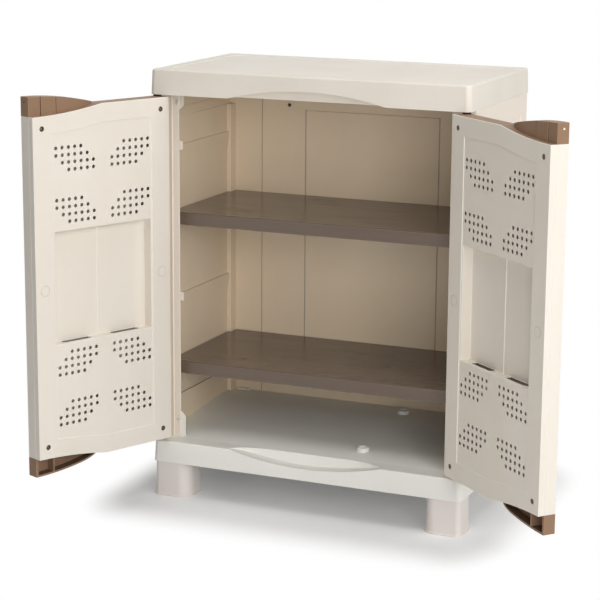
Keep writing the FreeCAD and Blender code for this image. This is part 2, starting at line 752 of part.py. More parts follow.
def perforation_places():
    """Centres of the round holes: eight groups that lean towards the door's middle."""
    middle_x = (hinge_edge_x + free_edge_x) / 2
    places = []
    for side in (-1, 1):
        centre_x = middle_x + side * group_column_offset
        for height in group_rows_from_middle:
            for half in (-1, 1):
                centre_z = door_middle + half * height
                for row, (first, last) in enumerate(row_spans):
                    z = centre_z + half * ((grid_rows - 1) / 2 - row) * hole_pitch_up
                    for column in range(first, last):
                        x = centre_x - side * (column - (grid_columns - 1) / 2) * hole_pitch_across
                        places.append((x, z))
    return places


def make_door_inner_panel():
    """The perforated inner panel: plate, edge walls, sunk field, deep pocket and screw wells."""
    plate_y = door_inner_y - door_plate
    proud_y = door_inner_y + cut_overlap
    plate = door_outline(0, plate_y, door_inner_y)
    edge = door_outline(0, door_seam_y, plate_y).cut(door_outline(door_plate, door_seam_y, plate_y))
    walls = edge.common(side_strips(door_seam_y, plate_y))
    x_mid = (hinge_edge_x + free_edge_x) / 2
    pocket_x0 = free_edge_x + field_from_free + door_pocket_margin
    pocket_x1 = hinge_edge_x - field_from_hinge - door_pocket_margin
    pocket_low = door_middle - door_pocket_half_height
    pocket_high = door_middle + door_pocket_half_height
    pocket_y = door_inner_y - door_pocket_depth
    w = door_pocket_wall
    pocket = block(pocket_x0 - w, pocket_x1 + w, pocket_y - w, plate_y, pocket_low - w, pocket_high + w)
    wells = []
    well_holes = []
    for x, z in door_screw_places():
        bottom = door_inner_y - screw_well_depth
        base = bottom - screw_well_wall
        wells.append(rod_along_y(x, z, base, plate_y, screw_well_radius + screw_well_wall))
        well_holes.append(rod_along_y(x, z, bottom, proud_y, screw_well_radius))
        well_holes.append(rod_along_y(x, z, base - cut_overlap, bottom, screw_hole_radius))
    panel = join([plate, walls, pocket] + wells)
    cuts = [field_outline(door_inner_y - field_depth, proud_y)]
    cuts.append(block(pocket_x0, pocket_x1, pocket_y, proud_y, pocket_low, pocket_high))
    slot_y = pocket_y + drain_slot_from_back
    slot_z = pocket_low - w - cut_overlap
    for side in (-1, 1):
        a = x_mid + side * drain_slot_from_middle
        b = a + side * drain_slot_length
        slot_wire = rounded_wire(min(a, b), max(a, b), slot_y, slot_y + drain_slot_width,
                                 [drain_slot_radius] * 4, slot_z)
        cuts.append(Part.Face(slot_wire).extrude(FreeCAD.Vector(0, 0, pocket_low - slot_z)))
    for x in (free_edge_x + screw_from_edge, hinge_edge_x - screw_from_edge):
        ring_y = door_inner_y - ring_depth
        disc = rod_along_y(x, door_middle, ring_y, proud_y, ring_radius)
        core = rod_along_y(x, door_middle, ring_y, proud_y, ring_radius - ring_width)
        cuts.append(disc.cut(core))
    panel = panel.cut(Part.makeCompound(cuts + well_holes))
    rib = block(x_mid - door_pocket_rib_width / 2, x_mid + door_pocket_rib_width / 2, pocket_y,
                pocket_y + door_pocket_rib_height, pocket_low, pocket_high)
    panel = panel.fuse(rib).removeSplitter()
    holes = [rod_along_y(x, z, plate_y - cut_overlap, proud_y, hole_radius) for x, z in perforation_places()]
    return panel.cut(Part.makeCompound(holes))


def make_door_outer_panel():
    """The outer shell: front plate with a sunk field, edge walls and screw bosses."""
    plate_y = door_outer_y + door_plate
    plate = door_outline(0, door_outer_y, plate_y)
    edge = door_outline(0, plate_y, door_seam_y).cut(door_outline(door_plate, plate_y, door_seam_y))
    walls = edge.common(side_strips(plate_y, door_seam_y))
    bosses = []
    bores = []
    boss_end = door_inner_y - screw_well_depth - screw_well_wall
    for x, z in door_screw_places():
        bosses.append(rod_along_y(x, z, plate_y, boss_end, screw_well_radius))
        bores.append(rod_along_y(x, z, boss_end - screw_length, boss_end, screw_shank_radius))
    shell = join([plate, walls] + bosses)
    field = field_outline(door_outer_y - cut_overlap, door_outer_y + outer_field_groove_depth)
    return shell.cut(Part.makeCompound([field] + bores))


def door_cap(level, direction):
    """A cap with a solid lens for one end of the right door; direction is 1 at the top, -1 at the bottom."""
    plate_outer = door_outer_y + door_plate
    plate_inner = door_inner_y - door_plate
    z_in = level - direction * (lens_dip + 2 * cap_band)
    zone = block(free_edge_x + door_plate, hinge_edge_x - door_plate, plate_outer, plate_inner,
                 min(level, z_in), max(level, z_in))
    band = door_outline(0, plate_outer, plate_inner).cut(door_outline(cap_band, plate_outer, plate_inner))

    # Lens, from the sunk edge of the door out to the arch; seen from above its inner face ends in a nose
    arch = lens_arc(free_edge_x, lens_half_width, level, direction * lens_rise, door_outer_y)
    dip = lens_arc(free_edge_x, lens_half_width, level, -direction * lens_dip, door_outer_y)
    side = Part.LineSegment(dip.Vertexes[0].Point, arch.Vertexes[0].Point).toShape()
    lens_face = Part.Face(Part.Wire(Part.__sortEdges__([arch, dip, side])))
    lens = lens_face.extrude(FreeCAD.Vector(0, door_seam_depth, 0))
    plan = Part.Face(nosed_plan(lens_half_width, lens_nose, door_seam_depth, door_outer_y, 0))
    lens = lens.common(plan.extrude(FreeCAD.Vector(0, 0, overall_height)))
    boss_end = level - direction * hinge_pin_in_door
    boss = rod(pivot_x, pivot_y, min(level, boss_end), max(level, boss_end), hinge_from_edge)
    boss = boss.common(block(0, hinge_edge_x - door_plate, plate_outer, plate_inner, 0, overall_height))
    boss_open = level + direction * cut_overlap
    pin_hole = rod(pivot_x, pivot_y, min(boss_open, boss_end), max(boss_open, boss_end), hinge_pin_radius)
    return join([band.common(zone), lens, boss]).cut(pin_hole), lens


def make_door_top_cap():
    """The upper cap: a lens that is hollow towards the door, with a raised part between two grooves."""
    cap, lens = door_cap(door_top, 1)
    start = free_edge_x + cap_step_from_free
    end = start + cap_step_width
    step = lens.common(block(start, end, door_outer_y, door_seam_y, 0, overall_height))
    step.translate(FreeCAD.Vector(0, cap_step_height, 0))
    groove_y = door_seam_y - cap_groove_depth
    hollow_x = free_edge_x + cap_hollow_width
    hollow_low = door_top - lens_dip - 2 * cap_band - cut_overlap
    hollow_top = door_top + circle_through(lens_half_width, lens_rise, hollow_x) - cap_wall
    cuts = [block(free_edge_x + door_plate + cap_wall, hollow_x, door_outer_y + door_plate + cap_wall,
                  groove_y - cap_wall, hollow_low, hollow_top)]
    for x in (start - cap_groove_width, end):
        cuts.append(block(x, x + cap_groove_width, groove_y, door_seam_y + cut_overlap,
                          door_top - lens_dip, door_top + lens_rise + cut_overlap))
    cuts.append(buffer_rod(0, free_edge_x + cap_wall))
    return join([cap, step]).cut(Part.makeCompound(cuts))


def make_door_bottom_cap():
    """The lower cap: a lens that is hollow towards the cabinet, with one rib across the hollow."""
    cap, lens = door_cap(door_bottom, -1)
    recess = lens.copy()
    recess.translate(FreeCAD.Vector(0, 0, cap_recess_rim))
    area = block(free_edge_x + door_plate + cap_wall, lens_half_width, door_seam_y - cap_recess_depth,
                 door_seam_y + cut_overlap, 0, door_middle)
    rib_x = free_edge_x + cap_rib_from_free
    rib = block(rib_x, rib_x + cap_rib_width, door_outer_y, door_inner_y, 0, door_middle)
    return cap.cut(recess.common(lens).common(area).cut(rib))


def buffer_rod(x0, x1):
    """The small buffer in the free end of a top cap, or its hole."""
    place = FreeCAD.Vector(x0, door_outer_y + buffer_from_front, door_top + lens_rise - buffer_below_peak)
    return Part.makeCylinder(buffer_radius, x1 - x0, place, FreeCAD.Vector(1, 0, 0))


def screw(x, z, head_y, length):
    """A pan head screw along Y whose head's underside is at head_y."""
    head = rod_along_y(x, z, head_y, head_y + screw_head_height, screw_head_radius)
    shank = rod_along_y(x, z, head_y - length, head_y, screw_shank_radius)
    body = join([head, shank])
    top = head_y + screw_head_height
    reach = screw_head_radius * screw_cross_share
    half = screw_slot_width / 2
    low = top - screw_slot_depth
    high = top + cut_overlap
    cross = [block(x - reach, x + reach, low, high, z - half, z + half),
             block(x - half, x + half, low, high, z - reach, z + reach)]
    return body.cut(Part.makeCompound(cross))


def make_door_screws():
    head_y = door_inner_y - screw_well_depth
    return Part.makeCompound([screw(x, z, head_y, screw_length) for x, z in door_screw_places()])


def make_carcass_screws():
    screws = []
    for x, z in carcass_screw_places():
        one = screw(x, -z, -jamb_y, carcass_screw_length)
        one.rotate(FreeCAD.Vector(0, 0, 0), FreeCAD.Vector(1, 0, 0), 180)
        screws.append(one)
    return Part.makeCompound(screws)


def make_bush(bottom_side):
    """A flanged bush on the right hinge line, at the sill or at the lid."""
    if bottom_side:
        flange = rod(pivot_x, pivot_y, sill_z, door_bottom - bush_end_gap, bush_flange_radius)
        sleeve = rod(pivot_x, pivot_y, sill_z - bush_length, sill_z, bush_radius)
    else:
        flange = rod(pivot_x, pivot_y, door_top + bush_end_gap, skirt_z, bush_flange_radius)
        sleeve = rod(pivot_x, pivot_y, skirt_z, skirt_z + bush_length, bush_radius)
    bore = rod(pivot_x, pivot_y, 0, overall_height, hinge_pin_radius + hinge_running_clearance)
    return join([flange, sleeve]).cut(bore)


def make_hinge_pin(bottom_side):
    low = door_top - hinge_pin_in_door
    high = skirt_z + hinge_pin_in_bush
    if bottom_side:
        low = sill_z - hinge_pin_in_bush
        high = door_bottom + hinge_pin_in_door
    return rod(pivot_x, pivot_y, low, high, hinge_pin_radius)


def swung(shape, side):
    """Puts a piece of the closed right door on its side of the cabinet, open as photographed."""
    placed = shape.copy() if side > 0 else mirrored(shape)
    angle = right_door_open_angle if side > 0 else -left_door_open_angle
    placed.rotate(FreeCAD.Vector(side * pivot_x, pivot_y, 0), FreeCAD.Vector(0, 0, 1), angle)
    return placed


def build():
    nodes = {}
    nodes["lid"] = make_lid()
    nodes["base"] = make_base()
    side = make_side_panel()
    nodes["side_panel_right"] = side
    nodes["side_panel_left"] = mirrored(side)
    nodes["back_panel"] = make_back_panel()
    levels = rail_levels()
    nodes["shelf_upper"] = make_shelf(levels[upper_shelf_rail - 1])
    nodes["shelf_lower"] = make_shelf(levels[lower_shelf_rail - 1])
    foot = make_foot()
    across = FreeCAD.Vector(0, 1, 0)
    origin = FreeCAD.Vector(0, 0, 0)
    nodes["foot_front_right"] = foot
    nodes["foot_front_left"] = mirrored(foot)
    nodes["foot_rear_right"] = foot.mirror(origin, across)
    nodes["foot_rear_left"] = mirrored(foot).mirror(origin, across)
    nodes["carcass_screws"] = make_carcass_screws()
    for name, bottom_side in (("upper", False), ("lower", True)):
        bush = make_bush(bottom_side)
        nodes["hinge_bush_right_" + name] = bush
        nodes["hinge_bush_left_" + name] = mirrored(bush)

    inner = make_door_inner_panel()
    outer = make_door_outer_panel()
    top_cap = make_door_top_cap()
    bottom_cap = make_door_bottom_cap()
    screws = make_door_screws()
    for name, side_sign in (("left", -1), ("right", 1)):
        prefix = name + "_door_"
        nodes[prefix + "inner_panel"] = swung(inner, side_sign)
        nodes[prefix + "outer_panel"] = swung(outer, side_sign)
        nodes[prefix + "top_cap"] = swung(top_cap, side_sign)
        nodes[prefix + "bottom_cap"] = swung(bottom_cap, side_sign)
        nodes[prefix + "screws"] = swung(screws, side_sign)
        nodes[prefix + "hinge_pin_upper"] = swung(make_hinge_pin(False), side_sign)
        nodes[prefix + "hinge_pin_lower"] = swung(make_hinge_pin(True), side_sign)
    nodes["right_door_buffer"] = swung(buffer_rod(free_edge_x - buffer_reach, free_edge_x + cap_wall), 1)
    return nodes


os.makedirs("parts", exist_ok=True)
for node_name, node_shape in build().items():
    node_shape.exportStep(os.path.join("parts", node_name + ".step"))
    print(node_name, len(node_shape.Solids), node_shape.isValid(), round(node_shape.Volume / 1000, 1))
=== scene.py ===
# %% [markdown]
# # A garden storage cabinet, dressed for its portrait
# The cabinet is moulded from cream resin, with taupe end caps on its doors and taupe shelves inside.
# The frame already holds every moulding at its real size. This lesson softens the mouldings' edges,
# models the small pieces that repeat, and gives every surface the finish of the real plastic.

# %% Load the frame
import bmesh
import bpy
import math
from mathutils import Matrix, Vector
from mathutils.bvhtree import BVHTree


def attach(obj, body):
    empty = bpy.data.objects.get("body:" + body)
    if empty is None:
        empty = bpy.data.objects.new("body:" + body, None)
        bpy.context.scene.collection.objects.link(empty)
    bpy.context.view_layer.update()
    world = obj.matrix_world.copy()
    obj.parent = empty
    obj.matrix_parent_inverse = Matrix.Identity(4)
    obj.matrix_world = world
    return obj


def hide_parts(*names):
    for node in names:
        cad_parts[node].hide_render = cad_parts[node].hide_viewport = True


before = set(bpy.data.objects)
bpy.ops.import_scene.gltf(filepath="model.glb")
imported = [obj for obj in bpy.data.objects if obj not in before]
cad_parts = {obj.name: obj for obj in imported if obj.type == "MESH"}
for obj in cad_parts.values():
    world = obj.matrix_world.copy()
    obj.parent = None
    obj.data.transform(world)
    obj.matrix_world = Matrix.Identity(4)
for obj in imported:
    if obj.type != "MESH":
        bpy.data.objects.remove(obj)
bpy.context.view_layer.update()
MM = 0.001
print("nodes in the frame:", len(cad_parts))

# %% [markdown]
# ## Camera
# The photograph was taken from the right of the middle and a little above the lid, through a fairly
# long lens. The camera looks at a point inside the cabinet from that direction, so its place follows
# from two angles and a distance, as a photographer would measure them on the studio floor. It also
# leans to one side, by less than half a degree.

# %% Set the camera
CAMERA_AZIMUTH = math.radians(23.2)
CAMERA_ELEVATION = math.radians(12.55)
CAMERA_LEAN = 0.007
CAMERA_DISTANCE = 4.281
AIM_POINT = Vector((-0.091, 0.0, 0.4157))
FOCAL_PIXELS = 1981.6
FRAME_PIXELS = 600
SENSOR_WIDTH = 36.0


def add_camera():
    towards = Vector((math.sin(CAMERA_AZIMUTH) * math.cos(CAMERA_ELEVATION),
                      -math.cos(CAMERA_AZIMUTH) * math.cos(CAMERA_ELEVATION),
                      math.sin(CAMERA_ELEVATION)))
    data = bpy.data.cameras.new("camera")
    data.sensor_width = SENSOR_WIDTH
    data.lens = FOCAL_PIXELS / FRAME_PIXELS * SENSOR_WIDTH
    camera = bpy.data.objects.new("camera", data)
    bpy.context.scene.collection.objects.link(camera)
    turn = towards.to_track_quat("Z", "Y").to_matrix().to_4x4()
    lean = Matrix.Rotation(CAMERA_LEAN, 4, "Z")
    camera.matrix_world = Matrix.Translation(AIM_POINT + towards * CAMERA_DISTANCE) @ turn @ lean
    bpy.context.scene.camera = camera
    return camera


camera = add_camera()
print("camera at", [round(v, 3) for v in camera.matrix_world.translation])

# %% [markdown]
# ## A way to write node trees
# A finish or a repeating pattern is a tree of nodes, and clicking one together by hand is slow to read
# back. Blender lets a script add every node, but the bare calls are long. The two small classes below
# let a tree be written as sums and products instead: a Signal stands for one socket, and adding or
# multiplying signals adds the Math nodes. Any other node is added with one method.

# %% Signals and trees
class Signal:
    """One output socket of a tree, which can be added, multiplied and so on."""

    def __init__(self, tree, socket):
        self.tree = tree
        self.socket = socket

    def combine(self, operation, first, second):
        is_vector = any(isinstance(v, tuple) or (isinstance(v, Signal) and v.socket.type == "VECTOR")
                        for v in (first, second))
        kind = "ShaderNodeVectorMath" if is_vector else "ShaderNodeMath"
        return self.tree.node(kind, {"operation": operation}, {0: first, 1: second})

    def __add__(self, other):
        return self.combine("ADD", self, other)

    def __radd__(self, other):
        return self.combine("ADD", other, self)

    def __sub__(self, other):
        return self.combine("SUBTRACT", self, other)

    def __rsub__(self, other):
        return self.combine("SUBTRACT", other, self)

    def __mul__(self, other):
        return self.combine("MULTIPLY", self, other)

    def __truediv__(self, other):
        return self.combine("DIVIDE", self, other)

    def __pow__(self, other):
        return self.combine("POWER", self, other)

    def __gt__(self, other):
        return self.combine("GREATER_THAN", self, other)

    def __lt__(self, other):
        return self.combine("LESS_THAN", self, other)


class Tree:
    """A node tree of any kind, with one method that adds a node and feeds its inputs."""

    def __init__(self, nodes_tree):
        self.nodes_tree = nodes_tree

    def feed(self, socket, value):
        if isinstance(value, Signal):
            self.nodes_tree.links.new(value.socket, socket)
        elif isinstance(value, (int, float)) and hasattr(getattr(socket, "default_value", 0.0), "__len__"):
            socket.default_value = [value] * len(socket.default_value)
        else:
            socket.default_value = value

    def node(self, kind, settings=None, inputs=None, output=0):
        node = self.nodes_tree.nodes.new(kind)
        for name, value in (settings or {}).items():
            setattr(node, name, value)
        for name, value in (inputs or {}).items():
            self.feed(node.inputs[name], value)
        return Signal(self, node.outputs[output])

    def other_output(self, signal, name):
        return Signal(self, signal.socket.node.outputs[name])

    def parts(self, vector):
        """The three numbers that a vector is made of."""
        split = self.node("ShaderNodeSeparateXYZ", inputs={0: vector})
        return split, self.other_output(split, "Y"), self.other_output(split, "Z")


print("signals can be added, subtracted, multiplied, divided, raised and compared")

# %% [markdown]
# ## The moulded resin
# Seen close, garden resin isn't smooth. The mould gives it a fine pebbled grain, the melt leaves broad
# flow marks that change its colour by a shade, and thick places sink by a fraction of a millimetre.
# Handling polishes the edges until they are paler. The walls' outer faces get a paler colour than their
# inner faces, which is painted light, and the walls of holes and grooves are darkened, which is painted
# shade. A picture of plastic could be wrapped round the mouldings, but it would stretch and repeat.
# Noise read at each point's own place in the cabinet has no seams and keeps its scale in millimetres, so
# every layer here is noise of a named size.

# %% A finish for moulded resin
SCREEN_DARK_END = 0.04045
SCREEN_DARK_SLOPE = 12.92
SCREEN_LIFT = 0.055
SCREEN_POWER = 2.4


def light(value):
    """One part of a colour as a screen writes it, turned into an amount of light."""
    if value <= SCREEN_DARK_END:
        return value / SCREEN_DARK_SLOPE
    return ((value + SCREEN_LIFT) / (1.0 + SCREEN_LIFT)) ** SCREEN_POWER


def paint(red, green, blue):
    """A colour as it is seen, turned into the light values that shaders use."""
    return (light(red), light(green), light(blue), 1.0)


class Finish(Tree):
    """A material under construction."""

    def __init__(self, name):
        self.material = bpy.data.materials.new(name)
        self.material.use_nodes = True
        super().__init__(self.material.node_tree)
        self.surface = self.nodes_tree.nodes["Principled BSDF"]
        self.place = self.node("ShaderNodeTexCoord", output="Object")

    def noise(self, size, detail=2.0, stretch=(1.0, 1.0, 1.0), offset=0.0):
        """Noise from 0 to 1 whose blobs are about this many metres across."""
        place = self.place * tuple(1.0 / s for s in stretch)
        if offset:
            place = place + (offset, offset, offset)
        return self.node("ShaderNodeTexNoise", inputs={
            "Vector": place, "Scale": 1.0 / size, "Detail": detail})

    def spread(self, value, low, high):
        """Opens the range from low to high out to 0 to 1."""
        return self.node("ShaderNodeMapRange", {"interpolation_type": "SMOOTHSTEP"},
                         {"Value": value, "From Min": low, "From Max": high})

    def blend(self, factor, first, second):
        return self.node("ShaderNodeMix", {"data_type": "RGBA"}, {0: factor, 6: first, 7: second}, output=2)

    def edge(self):
        """1 on the rounded edges of a moulding, 0 elsewhere."""
        return self.node("ShaderNodeAttribute", {"attribute_name": "edge"}, output="Fac")

    def hollow(self):
        """Up to 1 on the walls of narrow holes and grooves, 0 elsewhere."""
        return self.node("ShaderNodeAttribute", {"attribute_name": "hollow"}, output="Fac")

    def bump(self, depth, height, before=None):
        inputs = {"Strength": 1.0, "Distance": depth, "Height": height}
        if before:
            inputs["Normal"] = before
        return self.node("ShaderNodeBump", inputs=inputs)

    def set(self, **values):
        for name, value in values.items():
            self.feed(self.surface.inputs[name.replace("_", " ").title()], value)
        return self.material


GRAIN_SIZE = 0.9 * MM
PEEL_SIZE = 5 * MM
PEEL_DEPTH = 0.05 * MM
SINK_SIZE = 70 * MM
SINK_DEPTH = 0.35 * MM
FLOW_SIZE = 160 * MM
FLOW_STRETCH = (1.0, 1.0, 2.5)
FLOW_RANGE = (0.35, 0.7)
FLOW_TINT = 0.7
FLOW_ROUGHNESS = 0.07
MOTTLE_SIZE = 11 * MM
MOTTLE_TINT = 0.3
MOTTLE_ROUGHNESS = 0.12
SCUFF_SIZE = 4 * MM
SCUFF_STRETCH = (1.0, 1.0, 14.0)
SCUFF_RANGE = (0.62, 0.78)
SCUFF_ROUGHNESS = 0.08
EDGE_WEAR = 0.2
MOTTLED_WEAR = 0.4
EDGE_POLISH = 0.1
# Painted shade: the dark brown that the walls of holes and grooves are darkened towards, and how much.
HOLLOW_SHADE = paint(0.30, 0.26, 0.22)
HOLLOW_SHADE_COVER = 0.8
SIDES_OUTSIDE = (340.5 * MM, 341.5 * MM)
REAR_OUTSIDE = (185.5 * MM, 187.5 * MM)
FRONT_OUTSIDE = (148.5 * MM, 149.7 * MM)


def painted_outside_light(finish):
    """1 on faces that lie at the outside of the cabinet's walls, which get a paler colour as painted light.
    """
    across, back, _ = finish.parts(finish.place)
    sideways = finish.node("ShaderNodeMath", {"operation": "ABSOLUTE"}, {0: across})
    rear = finish.spread(back, *REAR_OUTSIDE)
    front = finish.spread(back * -1, *FRONT_OUTSIDE)
    return finish.spread(sideways, *SIDES_OUTSIDE) + rear + front


def moulded_resin(name, colour, flow_colour, worn_colour, roughness=0.48, grain_depth=0.03 * MM,
                  shine=0.5, outside_lit_colour=None):
    finish = Finish(name)
    finish.surface.inputs["Specular IOR Level"].default_value = shine
    flow = finish.spread(finish.noise(FLOW_SIZE, 3.0, FLOW_STRETCH), *FLOW_RANGE)
    mottle = finish.noise(MOTTLE_SIZE, 2.0)
    grain = finish.noise(GRAIN_SIZE, 1.0)
    peel = finish.noise(PEEL_SIZE, 1.0, offset=3.0)
    sink = finish.noise(SINK_SIZE, 1.0, FLOW_STRETCH, offset=7.0)
    scuff = finish.spread(finish.noise(SCUFF_SIZE, 2.0, SCUFF_STRETCH, offset=5.0), *SCUFF_RANGE)
    edge = finish.edge()
    tone = finish.blend(flow * FLOW_TINT + mottle * MOTTLE_TINT, colour, flow_colour)
    # Painted light: the walls' outer faces get a paler colour than the shaded inner faces.
    if outside_lit_colour:
        tone = finish.blend(painted_outside_light(finish), tone, outside_lit_colour)
    # Painted shade: the walls of holes and grooves are darkened towards a dark brown.
    tone = finish.blend(finish.hollow() * HOLLOW_SHADE_COVER, tone, HOLLOW_SHADE)
    wear = edge * (EDGE_WEAR + mottle * MOTTLED_WEAR)
    uneven = roughness + (mottle - 0.5) * MOTTLE_ROUGHNESS + (flow - 0.5) * FLOW_ROUGHNESS
    rough = uneven + scuff * SCUFF_ROUGHNESS - edge * EDGE_POLISH
    coarse = finish.bump(SINK_DEPTH, sink)
    middle = finish.bump(PEEL_DEPTH, peel, coarse)
    fine = finish.bump(grain_depth, grain, middle)
    return finish.set(base_color=finish.blend(wear, tone, worn_colour), roughness=rough, normal=fine)


cream = moulded_resin("cream resin", paint(0.925, 0.895, 0.850), paint(0.905, 0.872, 0.820),
                      paint(0.965, 0.955, 0.930))
base_resin = moulded_resin("base resin", paint(0.950, 0.945, 0.920), paint(0.930, 0.923, 0.893),
                           paint(0.970, 0.967, 0.955))
# The wall resin's warmer tone stays on the inner faces, where it stands for their warm shade; the outer
# faces get the paler colour as painted light.
wall = moulded_resin("wall resin", paint(0.950, 0.878, 0.775), paint(0.930, 0.853, 0.742),
                     paint(0.960, 0.935, 0.890), outside_lit_colour=paint(0.950, 0.905, 0.850))
foot_resin = moulded_resin("foot resin", paint(0.925, 0.895, 0.870), paint(0.905, 0.870, 0.845),
                           paint(0.970, 0.955, 0.940), grain_depth=0.02 * MM)
taupe = moulded_resin("taupe resin", paint(0.590, 0.475, 0.380), paint(0.550, 0.435, 0.345),
                      paint(0.670, 0.560, 0.460), roughness=0.5, shine=0.2)
print("resins:", cream.name, base_resin.name, wall.name, foot_resin.name, taupe.name)

# %% [markdown]
# ## The shelves' glossy taupe
# The shelves are the same taupe resin, but flat, polished moulds give them a gloss that catches the
# back wall, and the melt ran along them from end to end. Stretching the noise along the shelf draws
# those streaks; it moves the colour, the gloss and a very shallow relief together, because in the
# real plastic one cause changes all three.

# %% A finish for the shelves and the small hardware
STREAK_SIZE = 12 * MM
STREAK_STRETCH = (26.0, 1.6, 1.0)
STREAK_RANGE = (0.3, 0.75)
STREAK_TINT = 0.55
STREAK_ROUGHNESS = 0.04
STREAK_DEPTH = 0.008 * MM
CLOUD_SIZE = 120 * MM
CLOUD_STRETCH = (2.0, 1.0, 1.0)
CLOUD_TINT = 0.3
RUB_SIZE = 50 * MM
RUB_STRETCH = (3.0, 1.0, 1.0)
RUB_RANGE = (0.5, 0.8)
RUB_ROUGHNESS = 0.1
GLOSSY_ROUGHNESS = 0.2
GLOSSY_GRAIN_ROUGHNESS = 0.04
GLOSSY_GRAIN_DEPTH = 0.012 * MM
GLOSSY_EDGE_WEAR = 0.3
CLOUDED_WEAR = 0.5
TARNISH_SIZE = 2 * MM
TARNISH_RANGE = (0.4, 0.7)
TARNISH_ROUGHNESS = 0.1
BRUSH_SIZE = 0.6 * MM
BRUSH_ROUGHNESS = 0.2
BRUSH_DEPTH = 0.01 * MM


def streaked_resin(name, colour, streak_colour, worn_colour):
    finish = Finish(name)
    streak = finish.spread(finish.noise(STREAK_SIZE, 1.5, STREAK_STRETCH), *STREAK_RANGE)
    cloud = finish.noise(CLOUD_SIZE, 2.0, CLOUD_STRETCH, offset=4.0)
    grain = finish.noise(GRAIN_SIZE, 1.0)
    rub = finish.spread(finish.noise(RUB_SIZE, 4.0, RUB_STRETCH, offset=9.0), *RUB_RANGE)
    tone = finish.blend(streak * STREAK_TINT + cloud * CLOUD_TINT, colour, streak_colour)
    wear = finish.edge() * (GLOSSY_EDGE_WEAR + cloud * CLOUDED_WEAR)
    rubbed = GLOSSY_ROUGHNESS + (streak - 0.5) * STREAK_ROUGHNESS + rub * RUB_ROUGHNESS
    rough = rubbed + (grain - 0.5) * GLOSSY_GRAIN_ROUGHNESS
    relief = finish.bump(GLOSSY_GRAIN_DEPTH, grain, finish.bump(STREAK_DEPTH, streak))
    return finish.set(base_color=finish.blend(wear, tone, worn_colour), roughness=rough, normal=relief)


def metal(name, colour, dull_colour, roughness, brush=(1.0, 1.0, 1.0)):
    finish = Finish(name)
    tarnish = finish.spread(finish.noise(TARNISH_SIZE, 3.0), *TARNISH_RANGE)
    brushed = finish.noise(BRUSH_SIZE, 2.0, brush)
    finish.set(metallic=1.0)
    rough = roughness + (brushed - 0.5) * BRUSH_ROUGHNESS + tarnish * TARNISH_ROUGHNESS
    return finish.set(base_color=finish.blend(tarnish, colour, dull_colour), roughness=rough,
                      normal=finish.bump(BRUSH_DEPTH, brushed))


shelf_resin = streaked_resin("shelf resin", paint(0.405, 0.340, 0.292), paint(0.418, 0.356, 0.308),
                             paint(0.500, 0.425, 0.370))
nylon = moulded_resin("white nylon", paint(0.93, 0.93, 0.91), paint(0.90, 0.90, 0.88),
                      paint(0.97, 0.97, 0.96), roughness=0.38, grain_depth=0.008 * MM)
steel = metal("pin steel", paint(0.74, 0.74, 0.73), paint(0.60, 0.59, 0.57), 0.3, (1.0, 1.0, 0.1))
bronze = metal("screw bronze", paint(0.52, 0.44, 0.36), paint(0.36, 0.30, 0.25), 0.35)
zinc = metal("screw zinc", paint(0.88, 0.87, 0.85), paint(0.74, 0.73, 0.70), 0.3)
# Black resin for the upper bushes; the same finish colours the black rings and skins that are painted shade.
black_resin_and_shade = moulded_resin("black resin", paint(0.13, 0.12, 0.12), paint(0.16, 0.15, 0.14),
                            paint(0.24, 0.23, 0.22), roughness=0.6, shine=0.3)
print("hardware:", nylon.name, steel.name, bronze.name, zinc.name, black_resin_and_shade.name)

# %% [markdown]
# ## Soft edges
# No moulding has a knife edge: the mould's own corners are rounded, and that thin rounded line is what
# catches the light along every edge of the photograph. A Bevel modifier can round all edges by one
# width, but one width would swallow the fine steps or leave the lid sharp. So the script measures, on
# both sides of each edge, how far the surface runs before the next wall or drop, and across the edge,
# how far it is to the other side of a groove, and writes a bevel weight from that. The rounded faces
# get the value 1 in an attribute named edge, for the wear. Rays sent straight out of each face find the
# walls of narrow holes and grooves, which get a value in an attribute named hollow, for painted shade
# that darkens them. It grows with the gap, so a hole looks darker than a hairline groove.

# %% Measure the room at each edge
SHARP_ANGLE = math.radians(28)
SHORT_EDGE = 2.5 * MM
SHORT_EDGE_ROUND = 0.45 * MM
ROOM_SHARE = 0.42
GAP_SHARE = 0.03
NARROW_GAP = 14 * MM
# The end caps are hollow, so the rays reach farther there and the caps' inner faces get more painted shade.
CAP_GAP = 36 * MM
# How the painted shade in holes grows with the gap, and its least amount.
FULL_SHADE_GAP = 11 * MM
LEAST_HOLLOW_SHADE = 0.3
DRAWN_IN = 0.15
PROBE = 0.05 * MM
TURN_LIMIT = math.radians(35)
SAME_PLACE = 0.001 * MM
FLAT_ANGLE = math.radians(0.5)
BEVEL_SEGMENTS = 2
ROUNDED = 1


def widest_round(tree, edge, face, reach):
    """The rounding that one face leaves room for: it may run to a wall, a drop or across a groove."""
    loop = next(one for one in face.loops if one.edge == edge)
    along = loop.link_loop_next.vert.co - loop.vert.co
    inward = face.normal.cross(along).normalized()
    middle = (edge.verts[0].co + edge.verts[1].co) / 2
    probes = [(inward, side, ROOM_SHARE) for side in (PROBE, -PROBE)]
    if edge.is_convex:
        probes.append((-inward, -PROBE, GAP_SHARE))
    widest = reach
    for way, side, share in probes:
        hit = tree.ray_cast(middle + way * PROBE + face.normal * side, way, reach / share)
        if hit[0]:
            widest = min(widest, hit[3] * share)
    return widest


def runs_on(first, second, corner):
    """Whether two edges that share a corner follow one smooth line."""
    ahead = first.other_vert(corner).co - corner.co
    back = second.other_vert(corner).co - corner.co
    return ahead.angle(-back, math.pi) < TURN_LIMIT


def smooth_line(start, wanted):
    """All the edges, among those with a wanted width, that one smooth line joins to the first."""
    line = {start}
    waiting = [start]
    while waiting:
        edge = waiting.pop()
        for corner in edge.verts:
            for near in corner.link_edges:
                if near in wanted and near not in line and runs_on(edge, near, corner):
                    line.add(near)
                    waiting.append(near)
    return line


